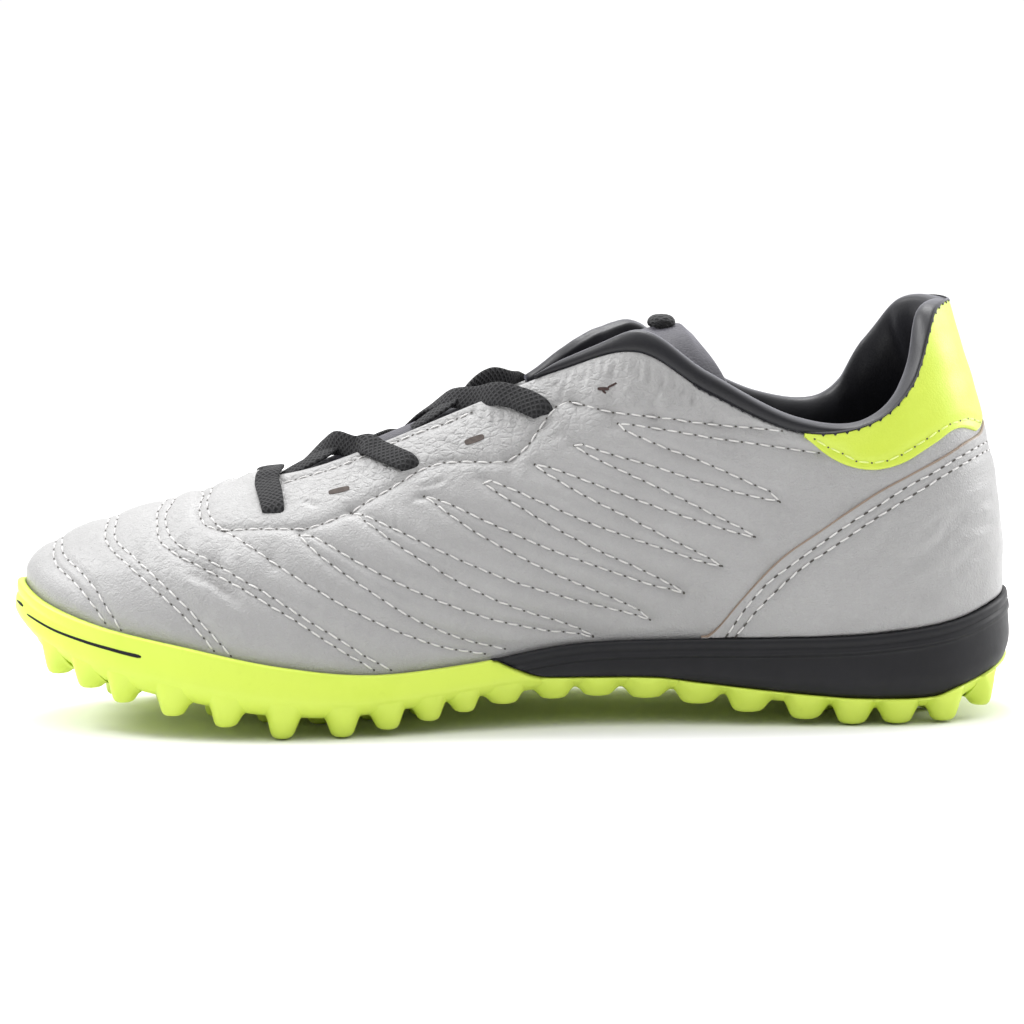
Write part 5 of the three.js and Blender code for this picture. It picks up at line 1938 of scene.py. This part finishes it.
def midsole_piece():
    """The foam wedge between rubber and upper, with a bevelled band along its top."""
    inner_end = section_at(WEDGE_START, 0.0, 0, TOE)
    outer_end = TURNS - section_at(WEDGE_START, 0.0, TOE, TURNS)
    f = np.linspace(1, 0, int(max(inner_end, outer_end) / SOLE_STEP) + 1)
    left = midsole_side(np.mod(inner_end * f, TURNS))
    right = midsole_side(np.mod(-outer_end * f, TURNS))
    g = np.linspace(0, 1, BED_ACROSS + 2)[None, 1:-1, None]
    top = left[:, -1:] + (right[:, -1:] - left[:, -1:]) * g
    bottom = right[:, :1] + (left[:, :1] - right[:, :1]) * g
    bottom[..., 2] = wedge_height(bottom[..., 0]) + FIT_GAP
    top[..., 2] = np.maximum(bed_height(top[..., 0]), bottom[:, ::-1, 2])
    stack = np.concatenate([left, top, right[:, ::-1], bottom], axis=1)
    ring = stack.shape[1]
    faces = grid_faces(len(stack), ring, wrap_rows=True)
    faces.append(list(range(ring)))
    piece = make_mesh("midsole_foam", stack, faces)
    work = bmesh.new()
    work.from_mesh(piece.data)
    bmesh.ops.remove_doubles(work, verts=work.verts, dist=0.02 * MM)
    work.to_mesh(piece.data)
    work.free()
    face_outwards(piece)
    return piece


# The insole's rounded edge: how far it draws in and its height over the bed
INSOLE_EDGE = [(0.6, 0.0), (0.0, 0.8), (0.0, 2.8), (0.5, 3.7), (1.4, INSOLE_THICKNESS)]
INSOLE_STEP = 1 / 8
INSOLE_ACROSS = 14


def insole_piece():
    """The soft insole with a rounded edge."""
    ts = np.arange(0, TURNS, INSOLE_STEP)
    rings = []
    for extra, rise in INSOLE_EDGE:
        flat = inset_point(ts, UPPER_INSET + UPPER_WALL + INSOLE_PLAY + extra)
        rings.append(raised(flat, bed_height(flat[:, 0]) + FIT_GAP + rise))

    def low(x, _):
        return bed_height(x) + FIT_GAP

    def high(x, _):
        return bed_height(x) + FIT_GAP + INSOLE_THICKNESS

    points, faces = loop_part(rings, low, high, INSOLE_ACROSS)
    return closed_piece("insole_cloth", points, faces)


# The dark line in the toe bumper: half its width at both ends, and how far it stands out and lies
# in the rubber.
LINE_HALF_WIDTHS = (0.26, 0.5)
LINE_PROUD = 0.1
LINE_SUNK = 0.6


def sole_side():
    """The side of the sole round the toe, as a surface."""
    ts = np.arange(8.0, 13.6, SOLE_STEP)
    under, rim, _ = sole_levels(ts)
    columns = [side_point(ts, under + (rim - under) * share) for share in np.linspace(0, 1, 80)]
    return Surface(np.stack(columns, axis=1), ts[0], SOLE_STEP, False)


def line_part(point, out):
    """A thin strip along points of the rubber, narrower at its ends."""
    up = np.cross(out, unit(np.gradient(point, axis=0)))
    ends = np.clip(np.sin(np.linspace(0.08, np.pi - 0.08, len(point))) * 6, 0.3, 1)
    half = up * (ends * np.linspace(*LINE_HALF_WIDTHS, len(point)))[:, None]
    over = out * LINE_PROUD
    below = out * LINE_SUNK
    corners = [point + half + over, point - half + over, point - half - below, point + half - below]
    return np.stack(corners, axis=1), tube_faces(len(point), len(corners))


def toe_line_piece():
    """The thin dark line inlaid in the toe bumper, on both sides."""
    side = sole_side()
    parts = []
    for pixels in (TOE_LINE_SHORT, TOE_LINE):
        path = side.locate(smooth_path(pixels, 3.0), 8.2, 13.3)
        if len(path) > 8:
            for _ in range(3):
                path[1:-1] = (path[:-2] + path[1:-1] * 2 + path[2:]) / 4
        t, u = path.T
        point = side.point(t, u)
        parts.append(line_part(point, -side.normal(t, u)))
        out = raised(-inward_normal(TURNS - t), np.zeros(len(t)))
        parts.append(line_part(side_point(TURNS - t, point[:, 2]), out))
    return joined_piece("toe_line", parts)


# Materials


class Nodes:
    """Short ways to add to a node tree."""

    def __init__(self, tree):
        self.tree = tree

    def node(self, kind, **settings):
        made = self.tree.nodes.new(kind)
        for key, value in settings.items():
            setattr(made, key, value)
        return made

    def link(self, source, target):
        self.tree.links.new(source, target)

    def spread(self, value, low, high, to_low=0.0, to_high=1.0):
        """Carries a range of values onto another one."""
        made = self.node("ShaderNodeMapRange", clamp=True)
        made.inputs["From Min"].default_value = low
        made.inputs["From Max"].default_value = high
        made.inputs["To Min"].default_value = to_low
        made.inputs["To Max"].default_value = to_high
        self.link(value, made.inputs["Value"])
        return made.outputs["Result"]

    def math(self, operation, *values):
        made = self.node("ShaderNodeMath", operation=operation)
        for socket, value in zip(made.inputs, values):
            if isinstance(value, (int, float)):
                socket.default_value = value
            else:
                self.link(value, socket)
        return made.outputs[0]


class Shader(Nodes):
    """One procedural material in millimetres of the shoe."""

    def __init__(self, name, color, roughness, coat=0.0, sheen=0.0, specular=0.5, tint=(1, 1, 1)):
        self.material = bpy.data.materials.new(name)
        self.material.use_nodes = True
        super().__init__(self.material.node_tree)
        self.tree.nodes.clear()
        out = self.node("ShaderNodeOutputMaterial")
        self.shader = self.node("ShaderNodeBsdfPrincipled")
        self.link(self.shader.outputs[0], out.inputs["Surface"])
        values = {
            "Base Color": (*color, 1),
            "Roughness": roughness,
            "Coat Weight": coat,
            "Coat Roughness": 0.35,
            "Sheen Weight": sheen,
            "Sheen Roughness": 0.4,
            "Sheen Tint": (*tint, 1),
            "Specular IOR Level": specular,
        }
        for socket, value in values.items():
            self.shader.inputs[socket].default_value = value
        place = self.node("ShaderNodeTexCoord")
        scale = self.node("ShaderNodeVectorMath", operation="SCALE")
        scale.inputs["Scale"].default_value = 1 / MM
        self.link(place.outputs["Object"], scale.inputs[0])
        self.place = scale.outputs[0]
        self.weave_place = place.outputs["UV"]
        self.bump_normal = None

    def noise(self, size, detail=3.0, rough=0.55, distortion=0.0):
        """Noise with features of a size in millimetres, from 0 to 1."""
        made = self.node("ShaderNodeTexNoise")
        made.inputs["Scale"].default_value = 1 / size
        made.inputs["Detail"].default_value = detail
        made.inputs["Roughness"].default_value = rough
        made.inputs["Distortion"].default_value = distortion
        self.link(self.place, made.inputs["Vector"])
        return made.outputs["Fac"]

    def cells(self, size, feature="DISTANCE_TO_EDGE", stretch=None, warp=0.0):
        """Cells of a size in millimetres, stretched along the axes and warped by noise."""
        made = self.node("ShaderNodeTexVoronoi", feature=feature)
        made.inputs["Scale"].default_value = 1 / size
        vector = self.place
        if stretch:
            stretched = self.node("ShaderNodeVectorMath", operation="MULTIPLY")
            stretched.inputs[1].default_value = stretch
            self.link(vector, stretched.inputs[0])
            vector = stretched.outputs[0]
        if warp:
            shift = self.node("ShaderNodeTexNoise")
            shift.inputs["Scale"].default_value = 1 / (size * 2.5)
            self.link(vector, shift.inputs["Vector"])
            moved = self.node("ShaderNodeVectorMath", operation="MULTIPLY_ADD")
            self.link(shift.outputs["Color"], moved.inputs[0])
            moved.inputs[1].default_value = (warp, warp, warp)
            self.link(vector, moved.inputs[2])
            vector = moved.outputs[0]
        self.link(vector, made.inputs["Vector"])
        return made.outputs["Distance"]

    def attribute(self, name):
        return self.node("ShaderNodeAttribute", attribute_name=name).outputs["Fac"]

    def bump(self, height, distance, strength=1.0):
        """Adds relief. distance is its depth in millimetres."""
        made = self.node("ShaderNodeBump")
        made.inputs["Strength"].default_value = strength
        made.inputs["Distance"].default_value = distance * MM
        self.link(height, made.inputs["Height"])
        if self.bump_normal is not None:
            self.link(self.bump_normal, made.inputs["Normal"])
        self.bump_normal = made.outputs["Normal"]
        self.link(self.bump_normal, self.shader.inputs["Normal"])

    def tint(self, factor, color):
        """Mixes a colour over what the base colour is so far."""
        made = self.node("ShaderNodeMix", data_type="RGBA")
        base = self.shader.inputs["Base Color"]
        if base.is_linked:
            self.link(base.links[0].from_socket, made.inputs["A"])
        else:
            made.inputs["A"].default_value = base.default_value
        made.inputs["B"].default_value = (*color, 1)
        self.link(factor, made.inputs["Factor"])
        self.link(made.outputs["Result"], base)

    def mottle(self, size, low, high, amount, color, detail=4.0):
        """Blotches of a colour, where noise runs from a low to a high value."""
        self.tint(self.spread(self.noise(size, detail), low, high, 0.0, amount), color)

    def roughness(self, factor, low, high):
        self.link(self.spread(factor, 0, 1, low, high), self.shader.inputs["Roughness"])


LEATHER = (0.335, 0.332, 0.332)
LEATHER_DARK = (0.24, 0.237, 0.236)
LEATHER_LIGHT = (0.44, 0.437, 0.436)
# Colour of the painted shade in the troughs of the seams
PAINTED_SEAM_SHADE = (0.2, 0.195, 0.19)
RAW_EDGE = (0.22, 0.15, 0.1)
LIME_HIDE = (0.55, 0.67, 0.06)
LIME_HIDE_DARK = (0.48, 0.61, 0.04)
LIME_HIDE_LIGHT = (0.62, 0.74, 0.09)
LIME = (0.6, 0.745, 0.085)
CHARCOAL = (0.01, 0.01, 0.012)


def leather_material(name, color, dark, light, tumbled=1.0):
    """Tumbled full-grain leather with a soft finish. The attribute grain says where it has
    crackled most."""
    m = Shader(name, color, 0.45, coat=0.18)
    pores = m.cells(0.95, warp=0.7)
    fine = m.noise(0.4, detail=2.0)
    broad = m.noise(14.0, detail=3.0)
    crackle = m.cells(2.3, warp=1.6, stretch=(0.8, 1.0, 1.15))
    crinkle = m.noise(3.2, detail=4.0, rough=0.65, distortion=0.8)
    grain = m.attribute("grain")
    cracked = m.math("MULTIPLY", m.spread(crackle, 0.0, 0.2), grain)
    creased = m.math("MULTIPLY", m.spread(crinkle, 0.3, 0.7), m.spread(grain, 0.0, 1.0, 0.35, 1.0))
    m.bump(m.spread(pores, 0.0, 0.3), 0.07 * tumbled, 1.0)
    m.bump(fine, 0.03, 0.8)
    m.bump(creased, 0.32 * tumbled, 1.0)
    m.bump(cracked, 0.2 * tumbled, 1.0)
    m.tint(m.spread(broad, 0.35, 0.7, 0.0, 0.22), dark)
    m.tint(m.spread(pores, 0.0, 0.12, 0.14, 0.0), dark)
    m.tint(m.math("MULTIPLY", m.spread(crackle, 0.0, 0.08, 0.22, 0.0), grain), dark)
    m.tint(m.spread(crinkle, 0.5, 0.75, 0.0, 0.2), light)
    m.roughness(m.spread(broad, 0.3, 0.7), 0.36, 0.5)
    return m


def rubber_material():
    m = Shader("lime_rubber", LIME, 0.42, coat=0.15, specular=0.4)
    m.bump(m.noise(0.9, detail=3.0), 0.03, 0.7)
    m.bump(m.noise(7.0, detail=2.0), 0.12, 0.6)
    m.mottle(11.0, 0.45, 0.75, 0.3, (0.5, 0.66, 0.04))
    m.mottle(2.2, 0.62, 0.8, 0.12, (0.36, 0.47, 0.05))
    m.roughness(m.noise(5.0), 0.34, 0.52)
    return m


def foam_material():
    m = Shader("charcoal_foam", (0.007, 0.007, 0.009), 0.5, specular=0.3)
    m.bump(m.cells(0.7, warp=0.5), 0.03, 0.6)
    m.bump(m.noise(6.0, detail=2.0), 0.1, 0.5)
    m.mottle(9.0, 0.4, 0.75, 0.4, (0.013, 0.013, 0.016))
    m.roughness(m.noise(4.0), 0.42, 0.6)
    return m


def lining_material(name, color):
    """Smooth satin cloth over soft foam."""
    m = Shader(name, color, 0.3, sheen=0.32, specular=0.35, tint=(0.86, 0.86, 1.0))
    m.bump(m.spread(m.cells(0.5, feature="F1"), 0.0, 0.6), 0.025, 0.7)
    m.bump(m.noise(5.0, detail=3.0), 0.2, 0.6)
    m.mottle(8.0, 0.4, 0.75, 0.4, (0.012, 0.012, 0.017))
    m.roughness(m.noise(3.0), 0.32, 0.46)
    return m


def tongue_material():
    """Knitted tongue cloth with a pale sheen."""
    m = Shader("tongue_cloth", (0.022, 0.021, 0.028), 0.5, sheen=0.3, tint=(0.9, 0.88, 1.0))
    ribs = m.cells(0.75, feature="F1")
    m.bump(m.spread(ribs, 0.0, 0.6), 0.09, 0.9)
    m.bump(m.noise(6.0, detail=3.0), 0.2, 0.6)
    m.tint(m.spread(ribs, 0.3, 0.6, 0.0, 0.5), (0.022, 0.021, 0.03))
    m.mottle(7.0, 0.45, 0.75, 0.4, (0.085, 0.082, 0.1))
    m.roughness(m.noise(3.0), 0.5, 0.7)
    return m


# Repeats of the lace's weave in millimetres
WEAVE_ALONG = 1.7
WEAVE_ACROSS = 1.9


def webbing_material():
    """Flat braided lace: two sets of yarns that cross, with painted highlights on the raised yarns."""
    m = Shader("charcoal_webbing", (0.008, 0.008, 0.009), 0.75, sheen=0.04, specular=0.25)
    split = m.node("ShaderNodeSeparateXYZ")
    m.link(m.weave_place, split.inputs[0])
    along = m.math("MULTIPLY", split.outputs["X"], 2 * math.pi / WEAVE_ALONG)
    aside = m.math("MULTIPLY", split.outputs["Y"], 2 * math.pi / WEAVE_ACROSS)
    first = m.math("SINE", m.math("ADD", along, aside))
    second = m.math("SINE", m.math("SUBTRACT", along, aside))
    woven = m.spread(m.math("MAXIMUM", first, second), -0.4, 1)
    m.bump(woven, 0.3, 1.0)
    m.bump(m.noise(0.3), 0.06, 0.8)
    # Painted highlight: the raised yarns are lighter than the hollows between them.
    m.tint(m.spread(woven, 0.3, 1.0, 0.0, 0.8), (0.037, 0.037, 0.039))
    m.mottle(0.6, 0.55, 0.8, 0.4, (0.09, 0.09, 0.09), detail=3.0)
    return m


def thread_material(name, color):
    m = Shader(name, color, 0.6, sheen=0.2)
    m.bump(m.noise(0.25), 0.04, 0.7)
    m.mottle(2.0, 0.4, 0.7, 0.3, tuple(c * 0.7 for c in color), detail=3.0)
    return m


def dark_material(name, color):
    m = Shader(name, color, 0.7, specular=0.15)
    m.bump(m.noise(0.4), 0.03, 0.6)
    m.mottle(1.5, 0.4, 0.7, 0.4, tuple(min(1, c * 2) for c in color), detail=3.0)
    return m


def grey_material():
    """The shoe's grey leather, with painted shade in the troughs where seams press it, and brown where
    it is cut.
    """
    m = leather_material("grey_leather", LEATHER, LEATHER_DARK, LEATHER_LIGHT)
    # Painted shade: the leather is darker the deeper a seam's trough presses it.
    m.tint(m.spread(m.attribute("press"), 0.5, 1.8, 0.0, 0.35), PAINTED_SEAM_SHADE)
    m.tint(m.spread(m.attribute("cut_edge"), 0.4, 1.0, 0.0, 0.9), RAW_EDGE)
    return m


def lime_material():
    """The heel patch's coated leather, with a faint grain."""
    return leather_material("lime_leather", LIME_HIDE, LIME_HIDE_DARK, LIME_HIDE_LIGHT, 0.35)


# Floor, light and camera

# Brightness of the studio: the backdrop, the dim side in front of the shoe and the ceiling
BACKDROP = 1.02
FRONT = 0.1
CEILING = 1.35
FLOOR_SIZE = 60
# Each light: name, place and size in metres, power in watts
LIGHTS = [
    ("key", (-0.85, 0.1, 0.8), 0.4, 6.6),
    ("top", (0.0, 0.35, 1.0), 0.5, 6.5),
    ("back", (0.95, 0.35, 0.5), 0.5, 5.5),
]
LIGHTS_AIM = (0, 0, 0.05)


def add_object(name, data):
    made = bpy.data.objects.new(name, data)
    bpy.context.scene.collection.objects.link(made)
    return made


def set_world():
    """A bright backdrop and ceiling and a dim front, by direction."""
    world = bpy.data.worlds.new("studio")
    bpy.context.scene.world = world
    world.use_nodes = True
    background = world.node_tree.nodes["Background"]
    background.inputs["Color"].default_value = (1.0, 1.0, 1.0, 1)
    n = Nodes(world.node_tree)
    split = n.node("ShaderNodeSeparateXYZ")
    n.link(n.node("ShaderNodeTexCoord").outputs["Generated"], split.inputs[0])
    walls = n.spread(split.outputs["Y"], -0.95, -0.25, FRONT, BACKDROP)
    above = n.math("POWER", n.math("MAXIMUM", split.outputs["Z"], 0), 2)
    n.link(n.math("MULTIPLY_ADD", above, CEILING, walls), background.inputs["Strength"])


def set_stage():
    """Pale floor, soft studio light and the camera of the photograph."""
    bpy.ops.mesh.primitive_plane_add(size=FLOOR_SIZE, location=(0, 0, -0.4 * MM))
    floor = bpy.context.object
    floor.name = "floor"
    m = Shader("floor_paper", (0.77, 0.77, 0.77), 0.95, specular=0.05)
    floor.data.materials.append(m.material)
    set_world()
    for name, place, size, power in LIGHTS:
        data = bpy.data.lights.new(name, "AREA")
        data.size = size
        data.energy = power
        light = add_object(name, data)
        light.location = place
        aim = Vector(LIGHTS_AIM) - Vector(place)
        light.rotation_euler = aim.to_track_quat("-Z", "Y").to_euler()
    bpy.context.scene.view_settings.view_transform = "Standard"
    data = bpy.data.cameras.new("camera")
    data.sensor_width = SENSOR_WIDTH
    data.lens = SENSOR_WIDTH * PIXELS_PER_MM * CAMERA_DISTANCE / PICTURE_WIDTH
    data.clip_start = 0.01
    camera = add_object("camera", data)
    camera.location = Vector((CAMERA_TARGET + CAMERA_BACK * CAMERA_DISTANCE) * MM)
    camera.rotation_euler = Vector(-CAMERA_BACK).to_track_quat("-Z", "Y").to_euler()
    bpy.context.scene.camera = camera


# Everything together


def dress(piece, slot, *materials):
    """Gives a piece its materials and lets it ride on the shoe. slot is not used."""
    for m in materials:
        piece.data.materials.append(m.material)
    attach(piece, "root")
    return piece


set_stage()

grey = grey_material()
lime_hide = lime_material()
rubber = rubber_material()
foam = foam_material()
lining = lining_material("charcoal_lining", CHARCOAL)
insole_finish = lining_material("insole_cloth", (0.015, 0.015, 0.018))
webbing = webbing_material()
thread = thread_material("pale_thread", (0.64, 0.63, 0.62))
lime_thread = thread_material("lime_thread", (0.7, 0.8, 0.25))
# Dark discs of painted shade standing in for the needle holes
needle_hole_shade = dark_material("needle_hole_shade", (0.07, 0.065, 0.06))
# Eyelet slits: the brown of their cut edges, with painted shade of the openings.
slit_edge_and_shade = dark_material("slit_edge_and_shade", (0.07, 0.058, 0.053))
# The tear: the brown of its torn edges, with painted shade of the opening.
tear_edge_and_shade = dark_material("tear_edge_and_shade", (0.045, 0.03, 0.028))
tongue_cloth = tongue_material()
dark_line = dark_material("dark_line", (0.012, 0.012, 0.014))

paths = stitched_paths()
relief = relief_field(paths)

upper = dress(upper_piece(), "grey_leather", grey, lining)
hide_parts("upper")

# Upper edge of the heel counter and lower edge of the patch: share of the height at the heel's
# middle, and the section number and share at the far end.
counter_edge = edge_function(COUNTER_LINE, 0.585, (4.74, 0.0))
patch_edge = edge_function(PATCH_LINE, 0.63, (3.95, 0.998))


def counter_foot(q):
    return 2 * FIT_GAP / face.length(q % TURNS)


def counter_top(q):
    return np.maximum(counter_edge(q), counter_foot(q) + 0.004)


def patch_foot(q):
    return np.maximum(patch_edge(q), counter_edge(q) + 0.012)


def patch_top(q):
    return 1 + (patch_rise(q) - 1.2 * FIT_GAP) / face.length(q % TURNS)


counter_rows = [located(row, HEEL_RANGE) for row in COUNTER_ROWS]
patch_rows = [located(PATCH_ROW, HEEL_RANGE)]
counter = overlay_piece(
    "heel_counter_leather", 4.72, counter_foot, counter_top, "top", counter_rows, 0.4, 0.2,
    HEEL_FOLDS,
)
dress(counter, "grey_leather", grey)
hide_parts("heel_counter")
patch = overlay_piece(
    "heel_patch", 3.9, patch_foot, patch_top, "bottom", patch_rows, 0.35, 0.12, []
)
dress(patch, "lime_leather", lime_hide)
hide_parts("heel_tab")

stitches = []
hole_shades = []
patch_stitches = []
for _, path in paths:
    t, u = along_surface(path, STITCH_PITCH).T
    made = sewn_row(leather_point(t, u, STITCH_LIFT), face.normal(t, u))
    stitches += made[0]
    hole_shades += made[1]
overlay_sewing = (
    (counter_rows, stitches, COUNTER_SLOT),
    (patch_rows, patch_stitches, PATCH_SLOT),
)
for rows, threads, slot in overlay_sewing:
    for path in [path for row in rows for path in both_sides(row)]:
        t, u = along_surface(path, STITCH_PITCH).T
        points = face.point(t, u) - face.normal(t, u) * OVERLAY_STITCH_LIFT
        made = sewn_row(points, face.normal(t, u), slot)
        threads += made[0]
        hole_shades += made[1]
dress(join_parts("stitching", stitches), "grey_leather", thread)
dress(join_parts("patch_stitching", patch_stitches), "lime_leather", lime_thread)
dress(join_parts("painted_hole_shadows", hole_shades, smooth=False), "grey_leather", needle_hole_shade)
dress(slit_piece("eyelet_mouths", SLITS), "grey_leather", slit_edge_and_shade)
dress(slit_piece("torn_eyelet", TEAR), "grey_leather", tear_edge_and_shade)

collar = dress(collar_piece(), "charcoal_lining", lining)
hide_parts("collar")
dress(teeth_piece(), "charcoal_lining", lining)
tongue = dress(tongue_piece(), "charcoal_lining", tongue_cloth)
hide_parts("tongue")
dress(knob_piece(), "charcoal_webbing", webbing)

bar = dress(lace_piece("lace_bar_woven", ["lace_bar"]), "charcoal_webbing", webbing)
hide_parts("lace_bar")
for number in (1, 2):
    name = f"lace_cross_{number}"
    crossing = lace_piece(f"{name}_woven", [f"{name}_inner", f"{name}_outer"])
    dress(crossing, "charcoal_webbing", webbing)
    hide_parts(name)

outsole = dress(outsole_piece(), "lime_rubber", rubber)
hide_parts("outsole")
midsole = dress(midsole_piece(), "charcoal_foam", foam)
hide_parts("midsole")
insole = dress(insole_piece(), "insole_cloth", insole_finish)
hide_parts("insole")
dress(toe_line_piece(), "lime_rubber", dark_line)
